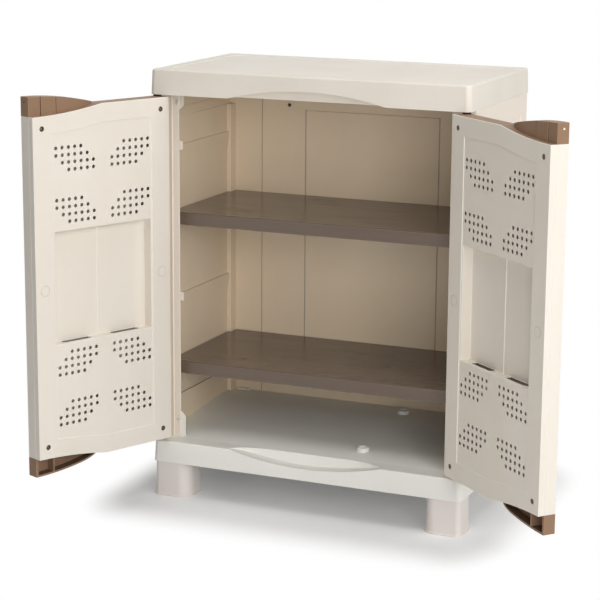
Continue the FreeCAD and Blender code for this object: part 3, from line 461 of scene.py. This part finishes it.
def gaps_before(tree, face, farthest):
    """How far each corner of a face, drawn in a little, is from what it looks at, or None for far off."""
    middle = face.calc_center_median()
    starts = [corner.co.lerp(middle, DRAWN_IN) + face.normal * PROBE for corner in face.verts]
    return [tree.ray_cast(start, face.normal, farthest)[3] for start in starts]


def mark_hollows(mesh, tree, farthest):
    """Gives a value up to 1 to every face that looks at another one across a narrow hollow."""
    hollow = mesh.faces.layers.float.new("hollow")
    for face in mesh.faces:
        gaps = gaps_before(tree, face, farthest)
        if None not in gaps:
            # The value sets how strongly painted shade darkens the face.
            face[hollow] = min(1.0, LEAST_HOLLOW_SHADE + min(gaps) / FULL_SHADE_GAP)


def weigh_edges(mesh, tree, width):
    """Gives each sharp edge a bevel weight that it has room for, the same all along a smooth line."""
    weights = mesh.edges.layers.float.new("bevel_weight_edge")
    wanted = {}
    for edge in mesh.edges:
        if len(edge.link_faces) != 2 or edge.calc_face_angle(0.0) < SHARP_ANGLE:
            continue
        wanted[edge] = min(widest_round(tree, edge, face, width) for face in edge.link_faces)
        if edge.calc_length() < SHORT_EDGE:
            wanted[edge] = min(wanted[edge], SHORT_EDGE_ROUND)
    waiting = set(wanted)
    while waiting:
        line = smooth_line(next(iter(waiting)), wanted)
        narrowest = min(wanted[edge] for edge in line)
        for edge in line:
            edge[weights] = narrowest / width
        waiting -= line


# %% [markdown]
# The frame's meshes are made of triangles, whose extra edges get in the way of a bevel. So a moulding
# is copied first, and the copy's triangles are joined into whole faces. Once the copy is rounded, its
# modifiers are frozen into a plain mesh, which stands in the place of the frame's node.

# %% Copy a moulding and round its edges
def merged_copy(node):
    """A node's mesh with its loose triangles joined into whole flat faces."""
    mesh = bmesh.new()
    mesh.from_mesh(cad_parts[node].data)
    bmesh.ops.remove_doubles(mesh, verts=mesh.verts, dist=SAME_PLACE)
    bmesh.ops.dissolve_limit(mesh, angle_limit=FLAT_ANGLE, verts=mesh.verts, edges=mesh.edges)
    return mesh


def new_piece(name, mesh_data):
    piece = bpy.data.objects.new(name, mesh_data)
    bpy.context.scene.collection.objects.link(piece)
    return piece


def frozen(piece):
    """The piece as its modifiers leave it, as a plain mesh in a new object that takes its name."""
    bpy.context.view_layer.update()
    depsgraph = bpy.context.evaluated_depsgraph_get()
    mesh = bpy.data.meshes.new_from_object(piece.evaluated_get(depsgraph))
    name = piece.name
    bpy.data.objects.remove(piece)
    mesh.name = name
    return new_piece(name, mesh)


def mark_edges(piece, finish):
    """Turns the rounded faces' material number into the edge attribute."""
    mesh = piece.data
    rounded = [float(face.material_index == ROUNDED) for face in mesh.polygons]
    mesh.attributes.new("edge", "FLOAT", "FACE").data.foreach_set("value", rounded)
    mesh.polygons.foreach_set("material_index", [0] * len(mesh.polygons))
    mesh.materials.clear()
    mesh.materials.append(finish)


def softened(node, name, body, finish, width, gap=NARROW_GAP):
    """A rounded copy of one moulding that stands for its node."""
    mesh = merged_copy(node)
    tree = BVHTree.FromBMesh(mesh)
    mark_hollows(mesh, tree, gap)
    weigh_edges(mesh, tree, width)
    for face in mesh.faces:
        face.smooth = True
    data = bpy.data.meshes.new(name)
    mesh.to_mesh(data)
    mesh.free()
    data.materials.append(finish)
    data.materials.append(finish)
    piece = new_piece(name, data)
    bevel = piece.modifiers.new("soft edges", "BEVEL")
    bevel.limit_method = "WEIGHT"
    bevel.width = width
    bevel.segments = BEVEL_SEGMENTS
    bevel.use_clamp_overlap = False
    bevel.material = ROUNDED
    shading = piece.modifiers.new("even shading", "WEIGHTED_NORMAL")
    shading.keep_sharp = True
    piece = frozen(piece)
    mark_edges(piece, finish)
    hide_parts(node)
    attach(piece, body)
    return piece


# %% [markdown]
# ## The carcass
# Lid, base, walls and back are single mouldings that hook into each other. Their shapes are already in
# the frame, so each one is copied, softened by about a millimetre and given its resin. The lid and the
# base, which people touch and see first, get the widest rounding.

# %% Soften the carcass
CARCASS = (("lid", "lid_shell", cream, "moulding", 1.2 * MM),
           ("base", "base_shell", base_resin, "moulding", 1.2 * MM),
           ("side_panel_left", "left_wall", wall, "wall", 0.9 * MM),
           ("side_panel_right", "right_wall", wall, "wall", 0.9 * MM),
           ("back_panel", "rear_wall", wall, "wall", 0.9 * MM),
           ("shelf_upper", "upper_shelf", shelf_resin, "shelf", 1.1 * MM),
           ("shelf_lower", "lower_shelf", shelf_resin, "shelf", 1.1 * MM),
           ("foot_front_left", "front_left_foot", foot_resin, "foot", 1.0 * MM),
           ("foot_front_right", "front_right_foot", foot_resin, "foot", 1.0 * MM),
           ("foot_rear_left", "rear_left_foot", foot_resin, "foot", 1.0 * MM),
           ("foot_rear_right", "rear_right_foot", foot_resin, "foot", 1.0 * MM))
for node, name, finish, slot, width in CARCASS:
    piece = softened(node, name, "cabinet", finish, width)
    print(name, len(piece.data.polygons), "faces")

# %% [markdown]
# ## The doors
# Each door is a hollow box of two shells and two end caps. Both doors are the same mouldings, mirrored,
# and they stand open at different angles. Anything modelled on a door is therefore made once, on the
# closed right door, and a matrix carries it to its open place on either side.

# %% Doors, softened, and the way onto them
PIVOT = Vector((0.338, -0.183, 0.0))
OPEN_ANGLES = {"left": math.radians(-114.0), "right": math.radians(140.0)}
DOOR_MIDDLE = Vector((173.5, 0.0, 498.0)) * MM
DOOR_FACE = -154.0 * MM
DOOR_FIELD_DEPTH = 1.6 * MM


def door_place(side):
    """From the closed right door to the open door on this side."""
    sign = 1.0 if side == "right" else -1.0
    pivot = Vector((sign * PIVOT.x, PIVOT.y, 0.0))
    swing = Matrix.Rotation(OPEN_ANGLES[side], 4, "Z")
    mirror = Matrix.Diagonal((sign, 1.0, 1.0, 1.0))
    return Matrix.Translation(pivot) @ swing @ Matrix.Translation(-pivot) @ mirror


DOOR_PARTS = (("inner_panel", "inner_shell", cream, "door", 0.9 * MM, NARROW_GAP),
              ("outer_panel", "outer_shell", cream, "door", 1.1 * MM, NARROW_GAP),
              ("top_cap", "upper_cap", taupe, "cap", 0.8 * MM, CAP_GAP),
              ("bottom_cap", "lower_cap", taupe, "cap", 0.8 * MM, CAP_GAP))
for side in ("left", "right"):
    for part, name, finish, slot, width, gap in DOOR_PARTS:
        node = f"{side}_door_{part}"
        piece = softened(node, f"{side}_door_{name}", f"{side}_door", finish, width, gap)
        print(piece.name, len(piece.data.polygons), "faces")

# %% [markdown]
# ## Hinges and buffer
# The hinge pins, their bushes and the buffer are small and plain, so the frame's own pieces serve as
# they are and only get a finish: steel for the pins, black resin for the upper bushes, white nylon for
# the lower ones and for the buffer.

# %% Give the hinges and the buffer their finishes
for side in ("left", "right"):
    for level, bush_finish in (("upper", black_resin_and_shade), ("lower", nylon)):
        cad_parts[f"{side}_door_hinge_pin_{level}"].data.materials[0] = steel
        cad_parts[f"hinge_bush_{side}_{level}"].data.materials[0] = bush_finish
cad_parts["right_door_buffer"].data.materials[0] = nylon

# %% [markdown]
# ## Recipes for what repeats
# A hundred and seventy-six holes to a door, four screws to a door and four in the frame: modelling one
# and copying it by hand would leave no way to change the pitch later. Geometry Nodes hold the rule
# instead. A Recipe is a geometry node tree with named inputs, and grow() runs it once and keeps the
# result as a plain mesh, because a part in a library can't depend on live modifiers.

# %% Recipes and how they grow
SOCKETS = {float: "NodeSocketFloat", int: "NodeSocketInt", "Material": "NodeSocketMaterial"}
FACE_FRONT = Matrix.Rotation(math.radians(90), 4, "X")
FACE_REAR = Matrix.Rotation(math.radians(-90), 4, "X")


class Recipe(Tree):
    """A geometry node tree whose sizes are inputs with names and values."""

    def __init__(self, name, sizes):
        group = bpy.data.node_groups.new(name, "GeometryNodeTree")
        super().__init__(group)
        group.interface.new_socket("Places", in_out="INPUT", socket_type="NodeSocketGeometry")
        group.interface.new_socket("Result", in_out="OUTPUT", socket_type="NodeSocketGeometry")
        self.sizes = sizes
        self.identifiers = {}
        for label, value in sizes.items():
            socket = group.interface.new_socket(label, in_out="INPUT", socket_type=SOCKETS[type(value)])
            self.identifiers[label] = socket.identifier
        socket = group.interface.new_socket("Finish", in_out="INPUT", socket_type=SOCKETS["Material"])
        self.identifiers["Finish"] = socket.identifier
        self.entry = group.nodes.new("NodeGroupInput")

    def size(self, label):
        return Signal(self, self.entry.outputs[label])

    def vector(self, x=0.0, y=0.0, z=0.0):
        return self.node("ShaderNodeCombineXYZ", inputs={0: x, 1: y, 2: z})

    def finish_off(self, geometry):
        """Every tree ends in real faces that carry the finish."""
        smooth = self.node("GeometryNodeSetShadeSmooth", inputs={"Geometry": geometry})
        real = self.node("GeometryNodeRealizeInstances", inputs={"Geometry": smooth})
        dressed = self.node("GeometryNodeSetMaterial", inputs={
            "Geometry": real, "Material": self.size("Finish")})
        out = self.nodes_tree.nodes.new("NodeGroupOutput")
        self.nodes_tree.links.new(dressed.socket, out.inputs["Result"])
        return self


def grow(recipe, name, finish, places=()):
    """Runs a recipe on a few places and returns the plain mesh it makes, on the closed door or the frame."""
    start = bpy.data.meshes.new(name)
    start.from_pydata([tuple(place) for place in places], [], [])
    piece = new_piece(name, start)
    modifier = piece.modifiers.new(recipe.nodes_tree.name, "NODES")
    modifier.node_group = recipe.nodes_tree
    for label, value in recipe.sizes.items():
        modifier[recipe.identifiers[label]] = value
    modifier[recipe.identifiers["Finish"]] = finish
    return frozen(piece)


def carry(piece, matrix, body):
    """Moves a piece's mesh to its place and lets it ride."""
    piece.data.transform(matrix)
    if matrix.determinant() < 0:
        piece.data.flip_normals()
    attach(piece, body)


print("a recipe is run once and kept as a plain mesh")

# %% [markdown]
# ## Rims of the perforations
# Each hole in a door's inner panel was cored by a pin in the mould, and the resin shrank round it into a
# fine raised rim. The rims make the holes catch the light in the photograph. Their pattern is a rule: a
# grid of seven by four with its corners cut on a slant, twice in each quarter of the door, and mirrored
# so that all eight lean towards the middle. The tree makes the slanted grid, sets it on two points, sets
# that pair on four points with a scale of plus or minus one, and only then puts a ring on each point,
# so that no ring is ever turned inside out.

# %% The perforation rims
def rim_recipe():
    recipe = Recipe("perforation rims", {
        "Rim Radius": 4.4 * MM, "Rim Thickness": 0.25 * MM, "Columns": 7, "Rows": 4,
        "Pitch Across": 15.4 * MM, "Pitch Up": 15.0 * MM, "Lean Low": -1.5, "Lean High": 4.5,
        "Quarter Across": 139.0 * MM, "Quarter Up": 419.0 * MM, "Pair Step": 105.0 * MM})
    columns, rows = recipe.size("Columns"), recipe.size("Rows")
    across, up = recipe.size("Pitch Across"), recipe.size("Pitch Up")
    grid = recipe.node("GeometryNodeMeshGrid", inputs={
        "Size X": (columns - 1) * across, "Size Y": (rows - 1) * up,
        "Vertices X": columns, "Vertices Y": rows})
    x, y, _ = recipe.parts(recipe.node("GeometryNodeInputPosition"))
    lean = (x / across + (columns - 1) / 2) - ((rows - 1) / 2 - y / up)
    outside = (lean > recipe.size("Lean High")) + (lean < recipe.size("Lean Low"))
    slanted = recipe.node("GeometryNodeDeleteGeometry", {"domain": "POINT"},
                          {"Geometry": grid, "Selection": outside})
    pair = recipe.node("GeometryNodeMeshLine", inputs={
        "Count": 2, "Start Location": recipe.vector(y=recipe.size("Pair Step") / -2),
        "Offset": recipe.vector(y=recipe.size("Pair Step"))})
    pairs = recipe.node("GeometryNodeInstanceOnPoints", inputs={"Points": pair, "Instance": slanted})
    quarters = recipe.node("GeometryNodeMeshGrid", inputs={
        "Size X": recipe.size("Quarter Across"), "Size Y": recipe.size("Quarter Up"),
        "Vertices X": 2, "Vertices Y": 2})
    turned = recipe.vector(1 - (x > 0.0) * 2, (y > 0.0) * 2 - 1, 1.0)
    spread = recipe.node("GeometryNodeInstanceOnPoints", inputs={
        "Points": quarters, "Instance": pairs, "Scale": turned})
    holes = recipe.node("GeometryNodeRealizeInstances", inputs={"Geometry": spread})
    circle = recipe.node("GeometryNodeCurvePrimitiveCircle", inputs={
        "Resolution": 20, "Radius": recipe.size("Rim Radius")})
    section = recipe.node("GeometryNodeCurvePrimitiveCircle", inputs={
        "Resolution": 6, "Radius": recipe.size("Rim Thickness")})
    ring = recipe.node("GeometryNodeCurveToMesh", inputs={"Curve": circle, "Profile Curve": section})
    rings = recipe.node("GeometryNodeInstanceOnPoints", inputs={"Points": holes, "Instance": ring})
    return recipe.finish_off(rings)


rims = rim_recipe()
field_middle = Vector((DOOR_MIDDLE.x, DOOR_FACE - DOOR_FIELD_DEPTH, DOOR_MIDDLE.z))
to_door_face = Matrix.Translation(field_middle) @ FACE_FRONT
for side in ("left", "right"):
    piece = grow(rims, f"{side}_door_perforation_rims", cream)
    carry(piece, door_place(side) @ to_door_face, f"{side}_door")
    print(piece.name, len(piece.data.polygons), "faces")

# %% [markdown]
# ## Screws
# The doors' shells are held together by a pan head screw near each corner, dark bronze, in a shallow
# well. A flat black ring under and round each head is painted shade, for the dark gap between head and
# well. Four plain zinc screws go through the side panels' front flanges into the lid and the base. A pan
# head is a body of revolution with a cross cut in it. The tree takes a flat grid, reads one direction as
# the angle and the other as the way from crown to underside, rolls it up by that rule, closes the seam,
# and cuts the cross with a Boolean. Each screw was driven home by hand, so its cross stands at its own
# random angle. The black ring is simpler: a rounded rectangle swept round a circle.

# %% The screws
def screw_recipe():
    recipe = Recipe("cross head screws", {
        "Head Radius": 4.0 * MM, "Head Height": 2.6 * MM, "Cross Reach": 2.7 * MM, "Cross Width": 1.1 * MM,
        "Cross Depth": 1.2 * MM, "Shank Radius": 2.0 * MM, "Shank Length": 16.0 * MM, "Seed": 5})
    radius, height = recipe.size("Head Radius"), recipe.size("Head Height")
    sheet = recipe.node("GeometryNodeMeshGrid", inputs={
        "Size X": 1.0, "Size Y": 1.0, "Vertices X": 29, "Vertices Y": 13})
    x, y, _ = recipe.parts(recipe.node("GeometryNodeInputPosition"))
    turn = x * math.tau
    fall = (0.5 - y) * math.pi
    cos_turn = recipe.node("ShaderNodeMath", {"operation": "COSINE"}, {0: turn})
    sin_turn = recipe.node("ShaderNodeMath", {"operation": "SINE"}, {0: turn})
    sin_fall = recipe.node("ShaderNodeMath", {"operation": "SINE", "use_clamp": True}, {0: fall})
    cos_fall = recipe.node("ShaderNodeMath", {"operation": "COSINE", "use_clamp": True}, {0: fall})
    reach = radius * sin_fall ** 0.5
    rolled = recipe.node("GeometryNodeSetPosition", inputs={
        "Geometry": sheet, "Position": recipe.vector(reach * cos_turn, reach * sin_turn, height * cos_fall)})
    head = recipe.node("GeometryNodeMergeByDistance", inputs={"Geometry": rolled, "Distance": 0.02 * MM})
    depth = recipe.size("Cross Depth") * 2
    wide, long = recipe.size("Cross Width"), recipe.size("Cross Reach") * 2
    first = recipe.node("GeometryNodeMeshCube", inputs={"Size": recipe.vector(long, wide, depth)})
    second = recipe.node("GeometryNodeMeshCube", inputs={"Size": recipe.vector(wide, long, depth)})
    cross = recipe.node("GeometryNodeMeshBoolean", {"operation": "UNION"}, {"Mesh 2": first})
    recipe.nodes_tree.links.new(second.socket, cross.socket.node.inputs["Mesh 2"])
    lifted = recipe.node("GeometryNodeTransform", inputs={
        "Geometry": cross, "Translation": recipe.vector(z=height)})
    cut = recipe.node("GeometryNodeMeshBoolean", {"operation": "DIFFERENCE"}, {
        "Mesh 1": head, "Mesh 2": lifted})
    shank = recipe.node("GeometryNodeMeshCylinder", inputs={
        "Vertices": 16, "Radius": recipe.size("Shank Radius"), "Depth": recipe.size("Shank Length")})
    hung = recipe.node("GeometryNodeTransform", inputs={
        "Geometry": shank, "Translation": recipe.vector(z=recipe.size("Shank Length") / -2)})
    screw = recipe.node("GeometryNodeJoinGeometry", inputs={"Geometry": cut})
    recipe.nodes_tree.links.new(hung.socket, screw.socket.node.inputs["Geometry"])
    driven = recipe.node("FunctionNodeRandomValue", {"data_type": "FLOAT"}, {
        "Seed": recipe.size("Seed")}, output=1)
    recipe.feed(driven.socket.node.inputs[2], 0.0)
    recipe.feed(driven.socket.node.inputs[3], math.pi)
    screws = recipe.node("GeometryNodeInstanceOnPoints", inputs={
        "Points": recipe.size("Places"), "Instance": screw, "Rotation": recipe.vector(z=driven)})
    return recipe.finish_off(screws)


# A flat black ring that is painted shade: it stands for the dark gap round a screw head, or the dark mouth
# of a hole.
def shade_ring_recipe():
    recipe = Recipe("washers", {"Middle Radius": 4.5 * MM, "Width": 1.3 * MM, "Thickness": 0.7 * MM,
                                "Corner Round": 0.2 * MM})
    outline = recipe.node("GeometryNodeCurvePrimitiveQuadrilateral", inputs={
        "Width": recipe.size("Width"), "Height": recipe.size("Thickness")})
    section = recipe.node("GeometryNodeFilletCurve", {"mode": "POLY"}, {
        "Curve": outline, "Count": 2, "Radius": recipe.size("Corner Round")})
    circle = recipe.node("GeometryNodeCurvePrimitiveCircle", inputs={
        "Resolution": 32, "Radius": recipe.size("Middle Radius")})
    ring = recipe.node("GeometryNodeCurveToMesh", inputs={"Curve": circle, "Profile Curve": section})
    raised = recipe.node("GeometryNodeTransform", inputs={
        "Geometry": ring, "Translation": recipe.vector(z=recipe.size("Thickness") / 2)})
    washers = recipe.node("GeometryNodeInstanceOnPoints", inputs={
        "Points": recipe.size("Places"), "Instance": raised})
    return recipe.finish_off(washers)


# A black skin deep in a hole: painted shade that makes the hole look dark.
def shade_skin_recipe():
    recipe = Recipe("hole seals", {"Skin Radius": 2.65 * MM, "Skin Thickness": 1.0 * MM,
                                   "Skin Depth": 5.0 * MM})
    skin = recipe.node("GeometryNodeMeshCylinder", inputs={
        "Vertices": 24, "Radius": recipe.size("Skin Radius"), "Depth": recipe.size("Skin Thickness")})
    sunk = recipe.node("GeometryNodeTransform", inputs={
        "Geometry": skin, "Translation": recipe.vector(z=recipe.size("Skin Depth") * -1)})
    shade_skins = recipe.node("GeometryNodeInstanceOnPoints", inputs={
        "Points": recipe.size("Places"), "Instance": sunk})
    return recipe.finish_off(shade_skins)


screw_rule = screw_recipe()
shade_ring_rule = shade_ring_recipe()
WELL_DEPTH = 4.0 * MM
WELL_FLOOR = DOOR_FACE - WELL_DEPTH
DOOR_SCREWS = [(x * MM, sign * z * MM) for sign in (1, -1) for x, z in ((323.0, 342.0), (24.0, 326.0))]
FRAME_SCREWS = [(side * 310.0 * MM, z * MM) for side in (-1, 1) for z in (163.0, 848.0)]
JAMB_FACE = -150.0 * MM
FRAME_SHANK = 12.0 * MM
for side in ("left", "right"):
    places = [(x, -(z + DOOR_MIDDLE.z), WELL_FLOOR) for x, z in DOOR_SCREWS]
    piece = grow(screw_rule, f"{side}_door_cross_screws", bronze, places)
    carry(piece, door_place(side) @ FACE_REAR, f"{side}_door")
    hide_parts(f"{side}_door_screws")
    print(piece.name, len(piece.data.polygons), "faces")
    # The black ring under each door screw is painted shade.
    washers = grow(shade_ring_rule, f"{side}_door_shade_rings", black_resin_and_shade, places)
    carry(washers, door_place(side) @ FACE_REAR, f"{side}_door")
    print(washers.name, len(washers.data.polygons), "faces")
screw_rule.sizes["Shank Length"] = FRAME_SHANK
piece = grow(screw_rule, "frame_screws", zinc, [(x, z, -JAMB_FACE) for x, z in FRAME_SCREWS])
carry(piece, FACE_FRONT, "cabinet")
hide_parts("carcass_screws")
print(piece.name, len(piece.data.polygons), "faces")

# %% [markdown]
# ## Painted shade in the wall screw holes
# The holes for screwing the cabinet to a wall are made to look dark. A thin skin of black resin lies
# deep in each hole, with a fine dark ring round its mouth; both are painted shade. A dark patch painted
# on the wall would look the same from the front, but not from the side. The ring comes from the black
# rings' recipe, with smaller sizes.

# %% Put dark skins and rings in the wall screw holes
BACK_RING_FACE = 178.5 * MM
WALL_HOLES = [(side * 196.0 * MM, 813.0 * MM, -BACK_RING_FACE) for side in (-1, 1)]
piece = grow(shade_skin_recipe(), "wall_hole_shade_skins", black_resin_and_shade, WALL_HOLES)
carry(piece, FACE_FRONT, "cabinet")
# The dark ring round each hole's mouth is painted shade as well.
shade_ring_rule.sizes.update({"Middle Radius": 3.4 * MM, "Width": 1.0 * MM, "Thickness": 0.6 * MM})
piece = grow(shade_ring_rule, "wall_hole_shade_rings", black_resin_and_shade, WALL_HOLES)
carry(piece, FACE_FRONT, "cabinet")

# %% [markdown]
# ## Studio
# The photograph shows the cabinet on white, with a soft grey shadow under it. More light would turn the
# floor white, but it would bleach the resin as well. So the lamps stay at a level where a colour looks
# as it was written, and only what the camera sees of the floor and the world is white: near the
# cabinet the floor is a bright matt sheet that keeps the shadow, and further out it fades to plain white.
# Mirror-like and clear things see that white as well, as they would in a real studio.

# %% Floor and world
FLOOR_REACH = 30.0
FOOTPRINT = (0.35, 0.195, 0.0)
SIDEWAYS = (1.6, 1.0, 1.0)
SHADOW_REACH = (0.06, 0.22)
SHADOW_VEIL = 0.1
FLOOR_SEEN = 0.95
FLOOR_LIGHT = 0.88
WORLD_LIGHT = 0.09


def seen_directly(tree):
    """1 for rays from the camera, a mirror or glass, and 0 for those that carry light."""
    path = tree.node("ShaderNodeLightPath")
    seen = path + tree.other_output(path, "Is Glossy Ray") + tree.other_output(path, "Is Transmission Ray")
    return seen > 0.5


def floor_material():
    finish = Finish("studio floor")
    seen = seen_directly(finish)
    beyond = finish.node("ShaderNodeVectorMath", {"operation": "ABSOLUTE"}, {0: finish.place}) - FOOTPRINT
    outside = finish.node("ShaderNodeVectorMath", {"operation": "MAXIMUM"}, {0: beyond, 1: (0.0, 0.0, 0.0)})
    away = finish.node("ShaderNodeVectorMath", {"operation": "LENGTH"}, {0: outside * SIDEWAYS}, 1)
    plain = (SHADOW_VEIL + finish.spread(away, *SHADOW_REACH) * (1.0 - SHADOW_VEIL)) * seen
    level = FLOOR_LIGHT + seen * (FLOOR_SEEN - FLOOR_LIGHT)
    matt = finish.node("ShaderNodeBsdfDiffuse", inputs={"Color": finish.node(
        "ShaderNodeCombineColor", inputs={0: level, 1: level, 2: level})})
    white = finish.node("ShaderNodeEmission", inputs={"Color": (1.0, 1.0, 1.0, 1.0), "Strength": 1.0})
    shown = finish.node("ShaderNodeMixShader", inputs={0: plain, 1: matt, 2: white})
    out = finish.nodes_tree.nodes["Material Output"]
    finish.nodes_tree.links.new(shown.socket, out.inputs["Surface"])
    return finish.material


def add_floor():
    mesh = bmesh.new()
    bmesh.ops.create_grid(mesh, x_segments=1, y_segments=1, size=FLOOR_REACH)
    data = bpy.data.meshes.new("floor")
    mesh.to_mesh(data)
    mesh.free()
    data.materials.append(floor_material())
    floor = new_piece("floor", data)
    return floor


def add_world():
    world = bpy.data.worlds.new("studio")
    bpy.context.scene.world = world
    world.use_nodes = True
    tree = Tree(world.node_tree)
    strength = WORLD_LIGHT + seen_directly(tree) * (1.0 - WORLD_LIGHT)
    background = world.node_tree.nodes["Background"]
    background.inputs["Color"].default_value = (1.0, 1.0, 1.0, 1.0)
    tree.feed(background.inputs["Strength"], strength)
    return world


print("stage:", add_floor().name, add_world().name)

# %% [markdown]
# ## Lamps
# The brightest faces in the photograph are those that look to the right, the left ends of the doors lie
# in shade, and the light reaches the left half of the back wall. So the key light comes from the right
# and in front. One lamp for it would draw one hard shadow, and two wide ones, low and high, soften it.
# A low one in front fills the shelves, and a wide one above lights the lid and the floor. A small one
# behind, close to the floor, keeps the back from going dark and puts no glare on the lid. Each lamp
# has a name, a place, a width in metres and a power in watts.

# %% Lamps
AIM = Vector((0.0, 0.0, 0.45))
LAMPS = (("low key", (3.0, -2.2, 2.0), 2.0, 33.0),
         ("high key", (3.5, -0.4, 2.8), 2.0, 44.0),
         ("front fill", (2.0, -3.5, 1.2), 2.0, 51.0),
         ("overhead", (0.0, -0.5, 3.5), 2.5, 44.0),
         ("rear fill", (-1.5, 3.6, 0.5), 0.8, 24.0))


def add_lamp(name, place, size, power):
    place = Vector(place)
    data = bpy.data.lights.new(name, "AREA")
    data.energy = power
    data.size = size
    lamp = bpy.data.objects.new(name, data)
    bpy.context.scene.collection.objects.link(lamp)
    turn = (place - AIM).to_track_quat("Z", "Y").to_matrix().to_4x4()
    lamp.matrix_world = Matrix.Translation(place) @ turn
    return lamp


for lamp in LAMPS:
    print("lamp:", add_lamp(*lamp).name)

# %% [markdown]
# ## View settings
# The render shows colours through the Standard view transform.

# %% Set the view transform
bpy.context.scene.view_settings.view_transform = "Standard"
